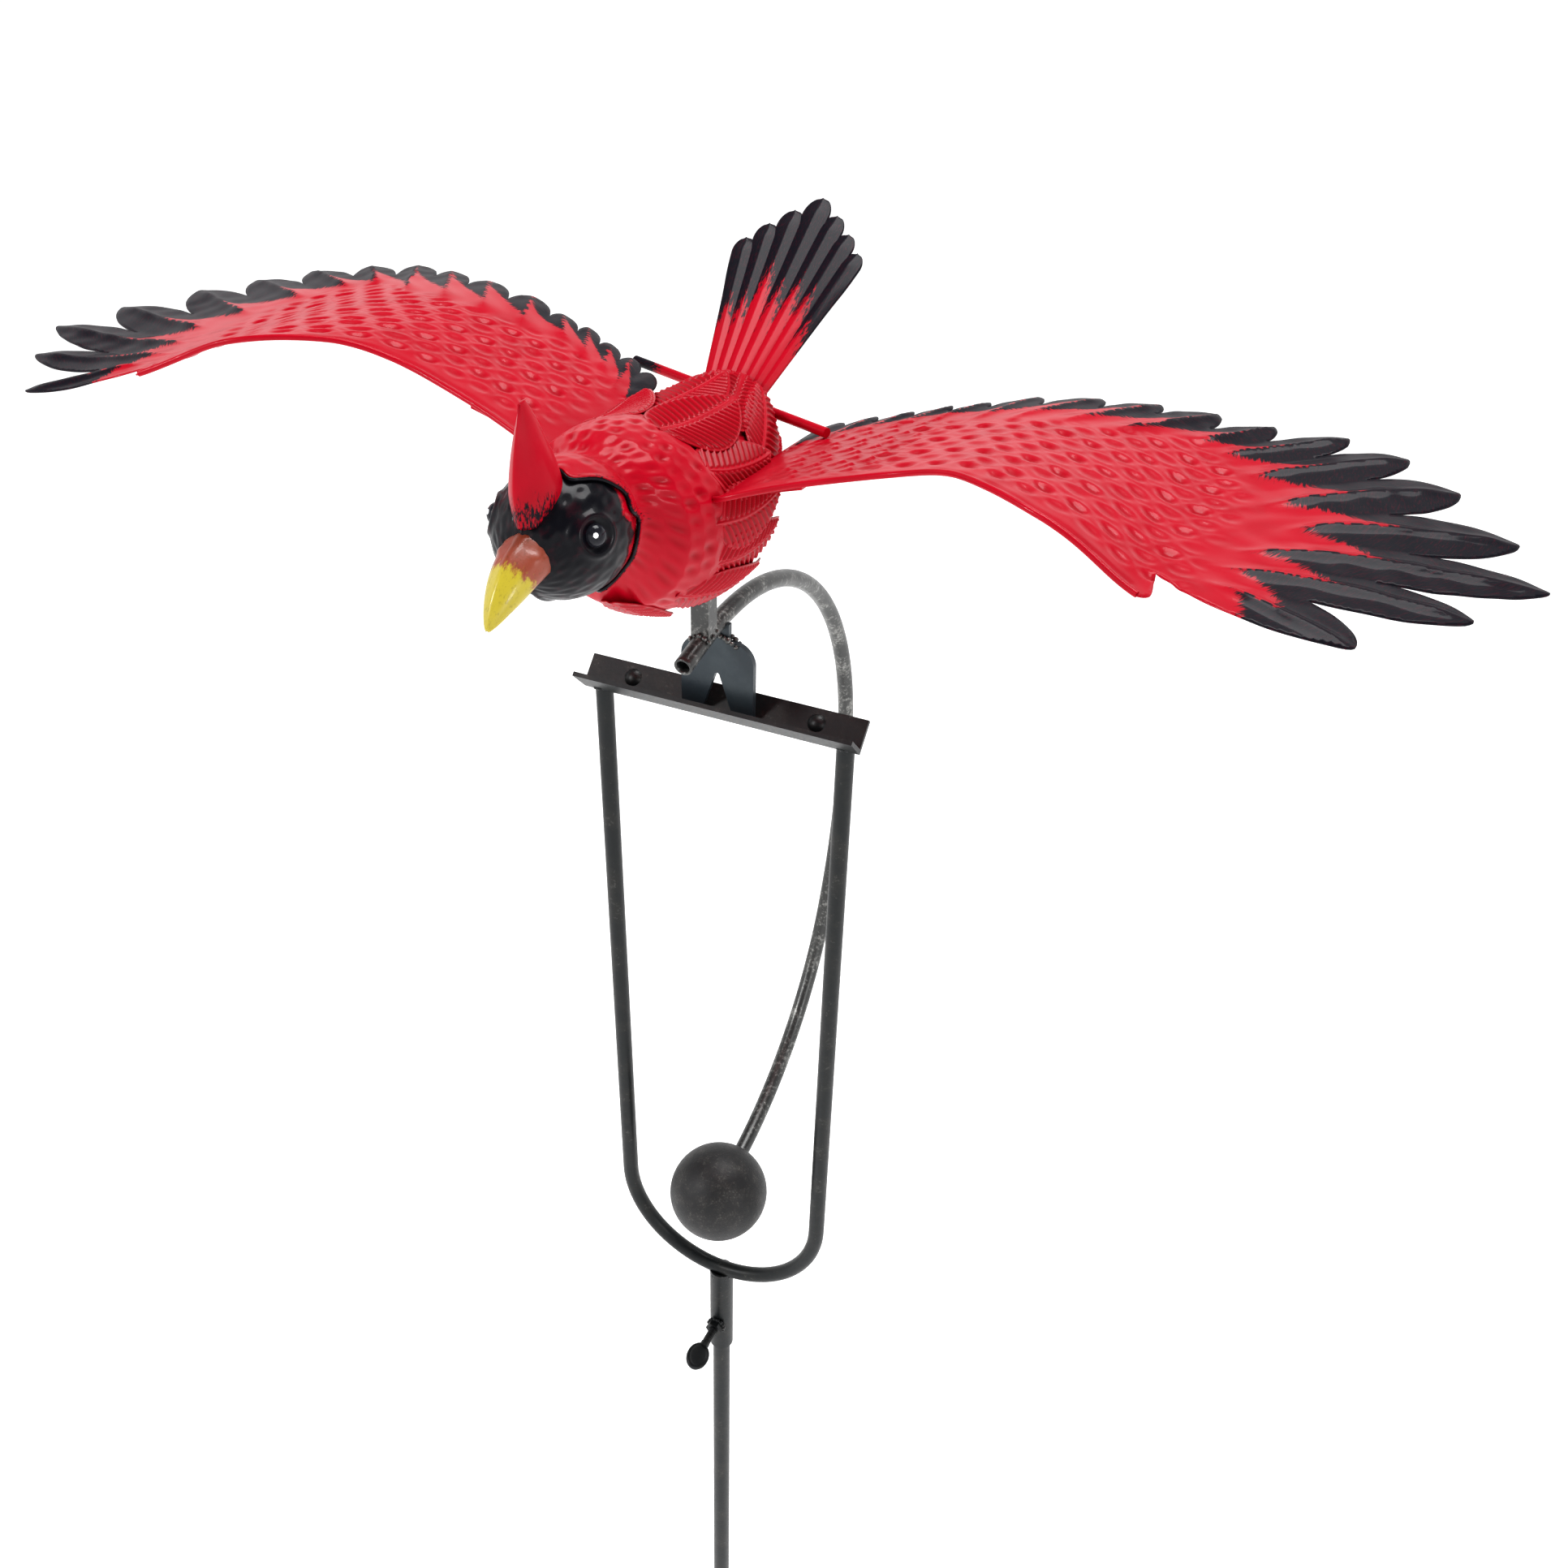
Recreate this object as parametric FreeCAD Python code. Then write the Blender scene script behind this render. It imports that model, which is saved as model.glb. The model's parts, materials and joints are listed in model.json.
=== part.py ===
"""Rocking bird garden stake.

A sheet metal bird stands on a knife edge in the groove of an angle bar, with a ball on a bent tube as
its counterweight. The bar is the top of a U-shaped yoke, which swivels on a two-piece ground stake.

Millimetres. +Z is up, the bird faces -Y, and the origin is the spike's shoulder, at ground level. The
yoke and the bird are drawn about the groove's valley and then lifted by PIVOT_HEIGHT.
"""
import FreeCAD
import Part
import math
import os

V = FreeCAD.Vector

# Stand
PIVOT_HEIGHT = 926.0
POLE_R = 4.75
SPIKE_R = 4.0
SPIKE_DEPTH = 180.0
SPIKE_POINT = 30.0
POLE_JOINT_Z = 250.0
SPIGOT_R = 3.3
SPIGOT_LENGTH = 50.0
SOCKET_R = 3.65
REST_GAP = 0.3
FORK_R = 4.0
FORK_HALF = 45.0
FORK_BEND = 10.0
FORK_DEPTH = 125.0
FORK_POINT = 22.0
FORK_Z = 7.0

# Yoke: heights are from the groove's valley
BAR_Y = -3.5
BAR_HALF = 66.0
FLANGE_REACH = 9.2
FLANGE_THICK = 2.0
ROD_R = 4.0
LEG_TOP_X = 58.3
BOW_R = 54.6
BOW_Z = -301.0
SLEEVE_R = 6.35
SLEEVE_BORE_R = 5.1
SLEEVE_TOP = -358.6
SLEEVE_BOTTOM = -416.0
NUT_Z = -396.0
NUT_ACROSS = 8.0
NUT_THICK = 4.5
SCREW_R = 2.4
SCREW_HOLE_R = 2.5
SCREW_REACH = 23.0
THUMB_LONG = 8.3
THUMB_WIDE = 6.25
THUMB_TURN = 30.7
THUMB_THICK = 3.2
RIVET_X = 44.0
RIVET_R = 4.0

# Rocker
HINGE_Z = 2.4
PLATE_THICK = 2.8
PLATE_HALF = 17.0
PLATE_TOP = 37.0
NECK_HALF = 5.5
ARCH_TOP = 21.0
FOOT_IN = 7.0
TUBE_R = 4.0
TUBE_BORE_R = 1.9
TUBE_FRONT = (-36.3, 39.7)
TUBE_RISE = 10.8
TUBE_STRAIGHT = 20.0
TUBE_ARCS = ((140.2, 94.9), (241.1, 28.8), (155.1, 64.23))
BALL_R = 25.4
POST_SIDE = 8.0
POST_Y = -17.0
POST_TOP = 92.0

# Body: station y, centre height, half width, half height
BODY_STATIONS = (
    (-112.0, 133.0, 21.0, 21.0),
    (-98.0, 129.0, 28.5, 29.0),
    (-80.0, 123.0, 34.5, 34.5),
    (-58.0, 118.0, 37.5, 35.5),
    (-34.0, 118.0, 36.5, 33.0),
    (-12.0, 123.0, 30.0, 26.0),
    (4.0, 131.0, 20.5, 17.0),
    (15.0, 138.0, 9.0, 7.0),
)
RING_POINTS = 16
SHEET = 0.5
SHELL_FRONT = -84.0
SEAM_GAP = 0.4
HEAD_Y = -121.5
HEAD_Z = 136.5
HEAD_R = (23.5, 27.0, 23.5)
EYE_R = 4.2

# Wing plan: one side, from the body outwards
WING_SHEET = 0.5
WING_HEIGHTS = (
    (20.0, 128.0, -0.06),
    (36.0, 134.0, -0.075),
    (60.0, 140.5, -0.10),
    (95.0, 149.0, -0.113),
    (123.0, 155.5, -0.128),
    (155.0, 155.5, -0.10),
    (191.0, 148.5, -0.02),
    (250.0, 143.0, 0.04),
    (312.0, 136.0, 0.03),
)
WING_SET = 3.0
WING_SET_FROM = 180.0
WING_SET_RUN = 80.0
LEADING_EDGE = (
    (31.0, -40.0), (29.5, -62.0), (33.0, -77.0), (40.0, -79.0), (66.0, -74.0), (93.0, -69.5),
    (106.0, -71.0), (120.0, -77.0), (136.0, -87.0), (152.0, -95.0), (170.0, -99.5), (185.0, -105.0),
    (190.5, -107.0), (193.5, -99.0), (192.0, -88.0),
)
FEATHERS = (
    ((256.0, -104.0), (237.0, -80.0)),
    ((287.0, -66.0), (249.5, -58.0)),
    ((307.0, -33.0), (259.0, -33.0)),
    ((295.0, -5.0), (251.0, -8.0)),
    ((272.5, 21.0), (237.5, 14.0)),
    ((253.0, 37.5), (220.0, 30.0)),
    ((230.5, 49.0), (201.5, 41.0)),
    ((202.0, 56.0), (180.0, 43.0)),
    ((180.0, 61.0), (159.0, 41.0)),
    ((159.0, 56.0), (139.0, 36.0)),
    ((137.0, 51.0), (117.0, 34.0)),
    ((113.0, 48.0), (97.0, 34.0)),
    ((95.5, 42.5), (82.0, 31.0)),
    ((81.5, 40.0), (69.0, 24.0)),
    ((68.0, 33.0), (56.0, 18.0)),
    ((54.5, 28.5), (44.5, 10.0)),
    ((43.0, 22.0), (34.0, -2.0)),
)

# Tail, beak and crest
TAIL_ROOT = (6.0, 139.0)
TAIL_TIP = (96.0, 195.0)
TAIL_HALF_ROOT = 12.0
TAIL_FEATHERS = 7
TAIL_SPREAD = 12.4
TAIL_STEP = 0.075
TAIL_SHEET = 1.3
BEAK_ROOT = (-143.0, 135.0)
BEAK_TIP = (-170.0, 123.0)
BEAK_R = 9.5
CREST_WALL = 1.0
BRACE_R = 2.0
BRACE_HOLE_R = 2.15
BRACE_ENDS = ((-56.0, 33.3, 136.6), (46.0, -4.0, 136.6))


def lifted(shape):
    """The shape moved from the groove's valley to its real height."""
    shape.translate(V(0, 0, PIVOT_HEIGHT))
    return shape


def write(name, shape):
    """Save one sub-part under its node name."""
    shape.exportStep("parts/%s.step" % name)


def cylinder(radius, start, end):
    """A round bar between two points."""
    start, end = V(*start), V(*end)
    return Part.makeCylinder(radius, (end - start).Length, start, end - start)


def point_of(radius, start, end, tip_radius=0.6):
    """A cone that narrows from start to a blunt tip at end."""
    start, end = V(*start), V(*end)
    return Part.makeCone(radius, tip_radius, (end - start).Length, start, end - start)


def prism(points, direction):
    """A closed polygon pushed along a direction."""
    wire = Part.makePolygon([V(*p) for p in points] + [V(*points[0])])
    return Part.Face(wire).extrude(V(*direction))


def smooth_lookup(rows, x, column):
    """A Catmull-Rom reading of a table whose first column rises."""
    last = len(rows) - 1
    i = 0
    while i < last - 1 and x > rows[i + 1][0]:
        i += 1
    x0, x1 = rows[i][0], rows[i + 1][0]
    p0, p1 = rows[i][column], rows[i + 1][column]
    slope = (p1 - p0) / (x1 - x0)
    m0 = slope
    m1 = slope
    if i > 0:
        m0 = (p1 - rows[i - 1][column]) / (x1 - rows[i - 1][0])
    if i + 2 <= last:
        m1 = (rows[i + 2][column] - p0) / (rows[i + 2][0] - x0)
    t = (x - x0) / (x1 - x0)
    span = x1 - x0
    return ((2 * t ** 3 - 3 * t ** 2 + 1) * p0 + (t ** 3 - 2 * t ** 2 + t) * span * m0
            + (3 * t ** 2 - 2 * t ** 3) * p1 + (t ** 3 - t ** 2) * span * m1)


# ---------------------------------------------------------------- ground stake

def lower_pole():
    """Pointed spike, pole and the spigot that the upper pole drops over."""
    solid = cylinder(SPIKE_R, (0, 0, SPIKE_POINT - SPIKE_DEPTH), (0, 0, 0))
    solid = solid.fuse(point_of(SPIKE_R, (0, 0, SPIKE_POINT - SPIKE_DEPTH), (0, 0, -SPIKE_DEPTH)))
    solid = solid.fuse(cylinder(POLE_R, (0, 0, 0), (0, 0, POLE_JOINT_Z)))
    solid = solid.fuse(cylinder(SPIGOT_R, (0, 0, POLE_JOINT_Z), (0, 0, POLE_JOINT_Z + SPIGOT_LENGTH)))
    return solid.removeSplitter()


def step_fork():
    """Rod bent into a staple behind the pole: a bar to step on and two prongs."""
    y = POLE_R + FORK_R
    run = FORK_HALF - FORK_BEND
    drop = FORK_Z - FORK_BEND
    low = FORK_POINT - FORK_DEPTH
    solid = cylinder(FORK_R, (-run, y, FORK_Z), (run, y, FORK_Z))
    for side in (-1, 1):
        corner = Part.makeTorus(FORK_BEND, FORK_R, V(side * run, y, drop), V(0, 1, 0))
        quarter = Part.makeBox(FORK_BEND + FORK_R, 2 * FORK_R, FORK_BEND + FORK_R)
        quarter.translate(V(run if side > 0 else -run - FORK_BEND - FORK_R, y - FORK_R, drop))
        solid = solid.fuse(corner.common(quarter))
        solid = solid.fuse(cylinder(FORK_R, (side * FORK_HALF, y, drop), (side * FORK_HALF, y, low)))
        solid = solid.fuse(point_of(FORK_R, (side * FORK_HALF, y, low), (side * FORK_HALF, y, -FORK_DEPTH)))
    return solid.removeSplitter()


def upper_pole():
    """Straight pole with the socket at its foot."""
    foot = POLE_JOINT_Z + REST_GAP
    top = PIVOT_HEIGHT + BOW_Z - BOW_R - ROD_R - REST_GAP
    solid = cylinder(POLE_R, (0, 0, foot), (0, 0, top))
    depth = SPIGOT_LENGTH + 2.0
    return solid.cut(cylinder(SOCKET_R, (0, 0, foot), (0, 0, foot + depth)))


# ---------------------------------------------------------------- yoke

def v_profile(reach):
    """Corner points of the groove's inner face and then its outer face, in (y, z)."""
    skin = FLANGE_THICK / math.sqrt(2)
    return [(-reach, reach), (0, 0), (reach, reach),
            (reach + skin, reach - skin), (0, -2 * skin), (-reach - skin, reach - skin)]


def v_crossbar():
    """Angle bar with its corner down, so that its inside is the pivot's groove."""
    points = [(-BAR_HALF, BAR_Y + y, z) for y, z in v_profile(FLANGE_REACH)]
    return lifted(prism(points, (2 * BAR_HALF, 0, 0)))


def yoke_frame():
    """Round rod along the U, saddled to fit under the angle bar."""
    solid = cylinder(ROD_R, (-LEG_TOP_X, 0, 4.0), (-BOW_R, 0, BOW_Z))
    solid = solid.fuse(cylinder(ROD_R, (BOW_R, 0, BOW_Z), (LEG_TOP_X, 0, 4.0)))
    ring = Part.makeTorus(BOW_R, ROD_R, V(0, 0, BOW_Z), V(0, 1, 0))
    side = BOW_R + 2 * ROD_R
    lower = Part.makeBox(2 * side, 4 * ROD_R, side, V(-side, -2 * ROD_R, BOW_Z - side))
    solid = solid.fuse(ring.common(lower))
    corner = v_profile(FLANGE_REACH)[4][1]
    reach = 20.0
    start = -2 * BAR_HALF
    above = prism([(start, BAR_Y - reach, corner + reach), (start, BAR_Y, corner),
                   (start, BAR_Y + reach, corner + reach)], (4 * BAR_HALF, 0, 0))
    return lifted(solid.cut(above))


def stop_rivets():
    """Two dome rivets on the groove's back flange, either side of the knife edge."""
    inward = V(0, -1, 1).normalize()
    heads = []
    for side in (-1, 1):
        along = FLANGE_REACH * 0.5
        foot = V(side * RIVET_X, BAR_Y + along, along)
        ball = Part.makeSphere(RIVET_R * 1.25, foot - inward * RIVET_R * 0.75)
        keep = Part.makeCylinder(RIVET_R * 1.3, RIVET_R, foot, inward)
        heads.append(ball.common(keep))
    return lifted(Part.makeCompound(heads))


def socket_sleeve():
    """Tube that drops over the pole, welded under the bow, with the screw's hole."""
    solid = cylinder(SLEEVE_R, (0, 0, SLEEVE_BOTTOM), (0, 0, SLEEVE_TOP + 2.0))
    solid = solid.cut(cylinder(SLEEVE_BORE_R, (0, 0, SLEEVE_BOTTOM), (0, 0, SLEEVE_TOP + 2.0)))
    ring = Part.makeTorus(BOW_R, ROD_R, V(0, 0, BOW_Z), V(0, 1, 0))
    solid = solid.cut(ring)
    solid = solid.cut(cylinder(SCREW_HOLE_R, (0, 0, NUT_Z), (0, -2 * SLEEVE_R, NUT_Z)))
    return lifted(max(solid.Solids, key=lambda piece: piece.Volume))


def sleeve_nut():
    """Hexagonal nut welded to the sleeve's front."""
    corner = NUT_ACROSS / math.sqrt(3)
    points = []
    for k in range(6):
        turn = math.radians(60 * k)
        points.append((corner * math.cos(turn), -SLEEVE_R - NUT_THICK, NUT_Z + corner * math.sin(turn)))
    solid = prism(points, (0, NUT_THICK + 2.0, 0))
    solid = solid.cut(cylinder(SLEEVE_R, (0, 0, SLEEVE_BOTTOM), (0, 0, SLEEVE_TOP)))
    solid = solid.cut(cylinder(SCREW_HOLE_R, (0, 0, NUT_Z), (0, -2.5 * SLEEVE_R, NUT_Z)))
    return lifted(max(solid.Solids, key=lambda piece: piece.Volume))


def thumb_screw():
    """Threaded shank with a flat paddle to turn it by."""
    tip = -POLE_R - REST_GAP
    solid = cylinder(SCREW_R, (0, tip, NUT_Z), (0, -SCREW_REACH, NUT_Z))
    rim = Part.Ellipse(V(0, 0, -THUMB_THICK / 2), THUMB_LONG, THUMB_WIDE).toShape()
    paddle = Part.Face(Part.Wire([rim])).extrude(V(0, 0, THUMB_THICK))
    paddle.rotate(V(0, 0, 0), V(0, 0, 1), 90)
    paddle.rotate(V(0, 0, 0), V(0, 1, 0), THUMB_TURN)
    paddle.translate(V(0, 1.2 - SCREW_REACH - THUMB_LONG, NUT_Z))
    return lifted(solid.fuse(paddle).removeSplitter())


# ---------------------------------------------------------------- rocker's working parts

def pivot_plate():
    """Plate with two round-edged feet in the groove and an arch between them."""
    shoulder = 10.0
    edge = PLATE_HALF - shoulder
    drop = PLATE_TOP - shoulder
    lean = shoulder * (1 - math.sqrt(0.5))
    foot = HINGE_Z
    apex = 1.2
    pieces = [
        Part.LineSegment(V(-PLATE_HALF, 0, foot), V(-PLATE_HALF, 0, drop)),
        Part.Arc(V(-PLATE_HALF, 0, drop), V(lean - PLATE_HALF, 0, PLATE_TOP - lean), V(-edge, 0, PLATE_TOP)),
        Part.LineSegment(V(-edge, 0, PLATE_TOP), V(edge, 0, PLATE_TOP)),
        Part.Arc(V(edge, 0, PLATE_TOP), V(PLATE_HALF - lean, 0, PLATE_TOP - lean), V(PLATE_HALF, 0, drop)),
        Part.LineSegment(V(PLATE_HALF, 0, drop), V(PLATE_HALF, 0, foot)),
        Part.LineSegment(V(PLATE_HALF, 0, foot), V(FOOT_IN, 0, foot)),
        Part.LineSegment(V(FOOT_IN, 0, foot), V(apex, 0, ARCH_TOP - apex)),
        Part.Arc(V(apex, 0, ARCH_TOP - apex), V(0, 0, ARCH_TOP), V(-apex, 0, ARCH_TOP - apex)),
        Part.LineSegment(V(-apex, 0, ARCH_TOP - apex), V(-FOOT_IN, 0, foot)),
        Part.LineSegment(V(-FOOT_IN, 0, foot), V(-PLATE_HALF, 0, foot)),
    ]
    face = Part.Face(Part.Wire([piece.toShape() for piece in pieces]))
    face.translate(V(0, BAR_Y - PLATE_THICK / 2, 0))
    solid = face.extrude(V(0, PLATE_THICK, 0))
    neck = Part.makeBox(2 * NECK_HALF, PLATE_THICK, 8.0, V(-NECK_HALF, BAR_Y - PLATE_THICK / 2, PLATE_TOP))
    solid = solid.fuse(neck)
    for side in (-1, 1):
        rim = cylinder(PLATE_THICK / 2, (side * FOOT_IN, BAR_Y, HINGE_Z), (side * PLATE_HALF, BAR_Y, HINGE_Z))
        solid = solid.fuse(rim)
    solid = solid.cut(arm_bar(TUBE_R)).removeSplitter()
    return max(solid.Solids, key=lambda piece: piece.Volume)


def arm_arcs():
    """Start, middle and end of each piece of the tube's centreline, in (y, z)."""
    y, z = TUBE_FRONT
    heading = math.radians(TUBE_RISE)
    end = (y + TUBE_STRAIGHT * math.cos(heading), z + TUBE_STRAIGHT * math.sin(heading))
    rows = [((y, z), None, end, None)]
    y, z = end
    for radius, turn in TUBE_ARCS:
        centre = (y + radius * math.sin(heading), z - radius * math.cos(heading))
        spots = []
        for share in (0.5, 1.0):
            angle = heading - math.radians(turn) * share
            spots.append((centre[0] - radius * math.sin(angle), centre[1] + radius * math.cos(angle)))
        rows.append(((y, z), spots[0], spots[1], centre))
        y, z = spots[1]
        heading -= math.radians(turn)
    return rows


def arm_wire():
    """Centreline of the bent tube, from its open front end to the ball's centre."""
    edges = []
    for start, middle, end, _centre in arm_arcs():
        if middle is None:
            edges.append(Part.LineSegment(V(0, *start), V(0, *end)).toShape())
        else:
            edges.append(Part.Arc(V(0, *start), V(0, *middle), V(0, *end)).toShape())
    return Part.Wire(edges)


def arm_bar(radius):
    """The tube's centreline swept with a round section."""
    heading = math.radians(TUBE_RISE)
    ring = Part.Wire(Part.makeCircle(radius, V(0, *TUBE_FRONT), V(0, math.cos(heading), math.sin(heading))))
    return arm_wire().makePipeShell([ring], True, False)


def ball_centre():
    """Where the tube's centreline ends."""
    return V(0, *arm_arcs()[-1][2])


def pendulum_arm():
    """Bent tube, open at the front, that ends in the ball."""
    solid = arm_bar(TUBE_R).cut(arm_bar(TUBE_BORE_R))
    solid = solid.cut(Part.makeSphere(BALL_R, ball_centre()))
    return max(solid.Solids, key=lambda piece: piece.Volume)


def counterweight_ball():
    """Solid ball on the tube's lower end."""
    return Part.makeSphere(BALL_R, ball_centre())


def body_post():
    """Square bar that stands on the tube and carries the body."""
    half = POST_SIDE / 2
    low = TUBE_FRONT[1] - 4.0
    solid = Part.makeBox(POST_SIDE, POST_SIDE, POST_TOP - low, V(-half, POST_Y - half, low))
    return solid.cut(arm_bar(TUBE_R)).Solids[-1]


# ---------------------------------------------------------------- body, head and tail

def oval(y, height, half_width, half_height):
    """Closed smooth ring across the body, started at its top."""
    points = []
    for k in range(RING_POINTS):
        turn = 2 * math.pi * k / RING_POINTS
        points.append(V(half_width * math.sin(turn), y, height + half_height * math.cos(turn)))
    curve = Part.BSplineCurve()
    curve.interpolate(Points=points, PeriodicFlag=True)
    return Part.Wire(curve.toShape())


def body_form(offset):
    """Closed body shape through the stations, grown outwards by offset."""
    rings = [oval(y, height, wide + offset, tall + offset) for y, height, wide, tall in BODY_STATIONS]
    return Part.makeLoft(rings, True, False)


def layer(low, high):
    """Sheet-thick layer over the body between two offsets, open at both ends."""
    return body_form(high).cut(body_form(low))


def leaf(root_y, tip_y, turn, half_width):
    """Cutter shaped like a pointed leaf, pushed out from the body's axis at an angle from the top."""
    spin = math.radians(turn)
    outward = V(math.sin(spin), 0, math.cos(spin))
    middle = (root_y + tip_y) / 2
    height = smooth_lookup(BODY_STATIONS, middle, 1)
    lean = smooth_lookup(BODY_STATIONS, tip_y, 1) - smooth_lookup(BODY_STATIONS, root_y, 1)
    along = V(0, tip_y - root_y, lean)
    across = along.cross(outward).normalize()
    centre = V(0, middle, height)
    root = centre - along * 0.5
    tip = centre + along * 0.5
    one = Part.Arc(root, centre + across * half_width, tip).toShape()
    two = Part.Arc(tip, centre - across * half_width, root).toShape()
    return Part.Face(Part.Wire([one, two])).extrude(outward * 60.0)


def brace_hole():
    """Room for the brace rod where it passes through the rump."""
    return cylinder(BRACE_HOLE_R, BRACE_ENDS[0], BRACE_ENDS[1])


def leaf_row(low, leaves):
    """A row of leaves cut from one layer."""
    skin = layer(low, low + SHEET).cut(brace_hole())
    cut = []
    for spec in leaves:
        cut.extend(skin.common(leaf(*spec)).Solids)
    return Part.makeCompound([piece for piece in cut if piece.Volume > 20.0])


def body_shell(side):
    """Left (+1) or right (-1) half of the pressed shell that carries the feathers."""
    skin = layer(-4 * SHEET, -3 * SHEET)
    x = SEAM_GAP / 2 if side > 0 else -100 - SEAM_GAP / 2
    skin = skin.common(Part.makeBox(100, 200, 200, V(x, SHELL_FRONT, 0)))
    half = POST_SIDE / 2 + REST_GAP
    skin = skin.cut(Part.makeBox(2 * half, 2 * half, 60, V(-half, POST_Y - half, 60)))
    skin = skin.cut(brace_hole())
    return max(skin.Solids, key=lambda piece: piece.Volume)


def neck_collar():
    """Neck and breast sheet wrapped over the front of the body."""
    skin = layer(0.0, SHEET)
    front = Part.makeBox(120, 42, 120, V(-60, -108, 70))
    front.rotate(V(0, -80, 123), V(1, 0, 0), -12)
    return max(skin.common(front).Solids, key=lambda piece: piece.Volume)


def ellipsoid(centre, radii):
    """A stretched sphere."""
    ball = Part.makeSphere(1.0)
    matrix = FreeCAD.Matrix()
    matrix.scale(V(*radii))
    grown = ball.transformGeometry(matrix)
    grown.translate(V(*centre))
    return grown


def head_shell(side):
    """Left or right half of the hollow head."""
    centre = (0, HEAD_Y, HEAD_Z)
    inner = [r - SHEET for r in HEAD_R]
    skin = ellipsoid(centre, HEAD_R).cut(ellipsoid(centre, inner))
    skin = skin.cut(body_form(SHEET + 0.2))
    x = 0.1 if side > 0 else -60.1
    skin = skin.common(Part.makeBox(60, 200, 200, V(x, -200, 0)))
    return max(skin.Solids, key=lambda piece: piece.Volume)


def eyes():
    """Two domes on the sides of the head."""
    domes = []
    for side in (-1, 1):
        dome = Part.makeSphere(EYE_R)
        dome.rotate(V(0, 0, 0), V(0, 1, 0), side * 90)
        dome.translate(V(side * 18.6, -133.0, 142.6))
        domes.append(dome.cut(ellipsoid((0, HEAD_Y, HEAD_Z), HEAD_R)))
    return Part.makeCompound([max(dome.Solids, key=lambda piece: piece.Volume) for dome in domes])


def beak_half(upper):
    """Folded cone cut in two along the mouth."""
    root_y, root_z = BEAK_ROOT
    tip_y, tip_z = BEAK_TIP
    axis = V(0, tip_y - root_y, tip_z - root_z)
    cone = Part.makeCone(BEAK_R, 0.9, axis.Length, V(0, root_y, root_z), axis)
    hollow = axis.Length - 6.0
    cone = cone.cut(Part.makeCone(BEAK_R - 1.0, 1.2, hollow, V(0, root_y, root_z), axis))
    cone = cone.cut(ellipsoid((0, HEAD_Y, HEAD_Z), [r + 0.05 for r in HEAD_R]))
    along = axis.normalize()
    normal = V(0, along.z, -along.y)
    mouth = V(0, root_y, root_z) - normal * 2.0
    far = 60.0
    box = Part.makeBox(2 * far, 2 * far, far, V(-far, -far, 0.1 if upper else -far - 0.1))
    box.Placement = FreeCAD.Placement(mouth, FreeCAD.Rotation(V(0, 0, 1), normal))
    piece = cone.common(box)
    return max(piece.Solids, key=lambda part: part.Volume)


def horn(wall):
    """Tapered horn over the head, drawn smaller all round by wall."""
    rows = ((-150.5, -122.0, 150.0, 9.0), (-149.0, -127.0, 165.0, 6.5), (-143.5, -138.0, 187.0, 1.8))
    rings = []
    for front, back, height, half in rows:
        widest = (front + 2 * back) / 3
        points = [V(0, front + wall, height), V(half - wall, widest, height), V(0, back - wall, height),
                  V(wall - half, widest, height)]
        rings.append(Part.makePolygon(points + [points[0]]))
    return Part.makeLoft(rings, True, True)


def crest():
    """Hollow horn that stands on the head."""
    solid = horn(0.0).cut(horn(CREST_WALL))
    solid = solid.cut(ellipsoid((0, HEAD_Y, HEAD_Z), [r + 0.05 for r in HEAD_R]))
    return max(solid.cut(body_form(SHEET + 0.1)).Solids, key=lambda piece: piece.Volume)


def tail_fan():
    """Sheet fan with pointed feathers, sloping up and back."""
    run = TAIL_TIP[0] - TAIL_ROOT[0]
    rise = TAIL_TIP[1] - TAIL_ROOT[1]
    length = math.hypot(run, rise)
    points = [(-TAIL_HALF_ROOT, 0.0)]
    half = TAIL_FEATHERS // 2
    for k in range(-half, half + 1):
        swing = math.radians(TAIL_SPREAD * k / half)
        reach = length * (1 - TAIL_STEP * abs(k))
        for share, side in ((0.93, -0.42), (1.0, 0.0), (0.93, 0.42)):
            tilt = swing + math.radians(TAIL_SPREAD / half) * side
            points.append((reach * share * math.sin(tilt) + 2.4 * k, reach * share * math.cos(tilt)))
    points.append((TAIL_HALF_ROOT, 0.0))
    outline = [(x, TAIL_ROOT[0] + d * run / length, TAIL_ROOT[1] + d * rise / length) for x, d in points]
    fan = prism(outline, (0, -TAIL_SHEET * rise / length, TAIL_SHEET * run / length))
    fan = fan.cut(body_form(0.0)).cut(brace_hole())
    return max(fan.Solids, key=lambda piece: piece.Volume)


# ---------------------------------------------------------------- wings

def wing_height(side, x, y):
    """Height of the wing sheet over a point of its plan. Each wing is set by hand, a little unevenly."""
    share = min(max((x - WING_SET_FROM) / WING_SET_RUN, 0.0), 1.0)
    ease = share * share * (3 - 2 * share)
    hand_set = side * WING_SET * (2.5 * ease - 1)
    return smooth_lookup(WING_HEIGHTS, x, 1) + smooth_lookup(WING_HEIGHTS, x, 2) * y + hand_set


def feather_edges(before, tip, after):
    """Two straight sides and a round tip, between the notches either side of a feather."""
    base = ((before[0] + after[0]) / 2, (before[1] + after[1]) / 2)
    long = (tip[0] - base[0], tip[1] - base[1])
    length = math.hypot(*long)
    unit = (long[0] / length, long[1] / length)
    width = min(math.hypot(before[0] - after[0], before[1] - after[1]) * 0.25, 5.0)
    back = min(length * 0.3, 8.0)
    shoulders = []
    for side in (1, -1):
        x = tip[0] - unit[0] * back + side * unit[1] * width
        y = tip[1] - unit[1] * back - side * unit[0] * width
        shoulders.append((x, y))
    near = min(shoulders, key=lambda s: math.hypot(s[0] - before[0], s[1] - before[1]))
    far = shoulders[1] if near is shoulders[0] else shoulders[0]
    return [("line", before, near), ("arc", near, tip, far), ("line", far, after)]


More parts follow.
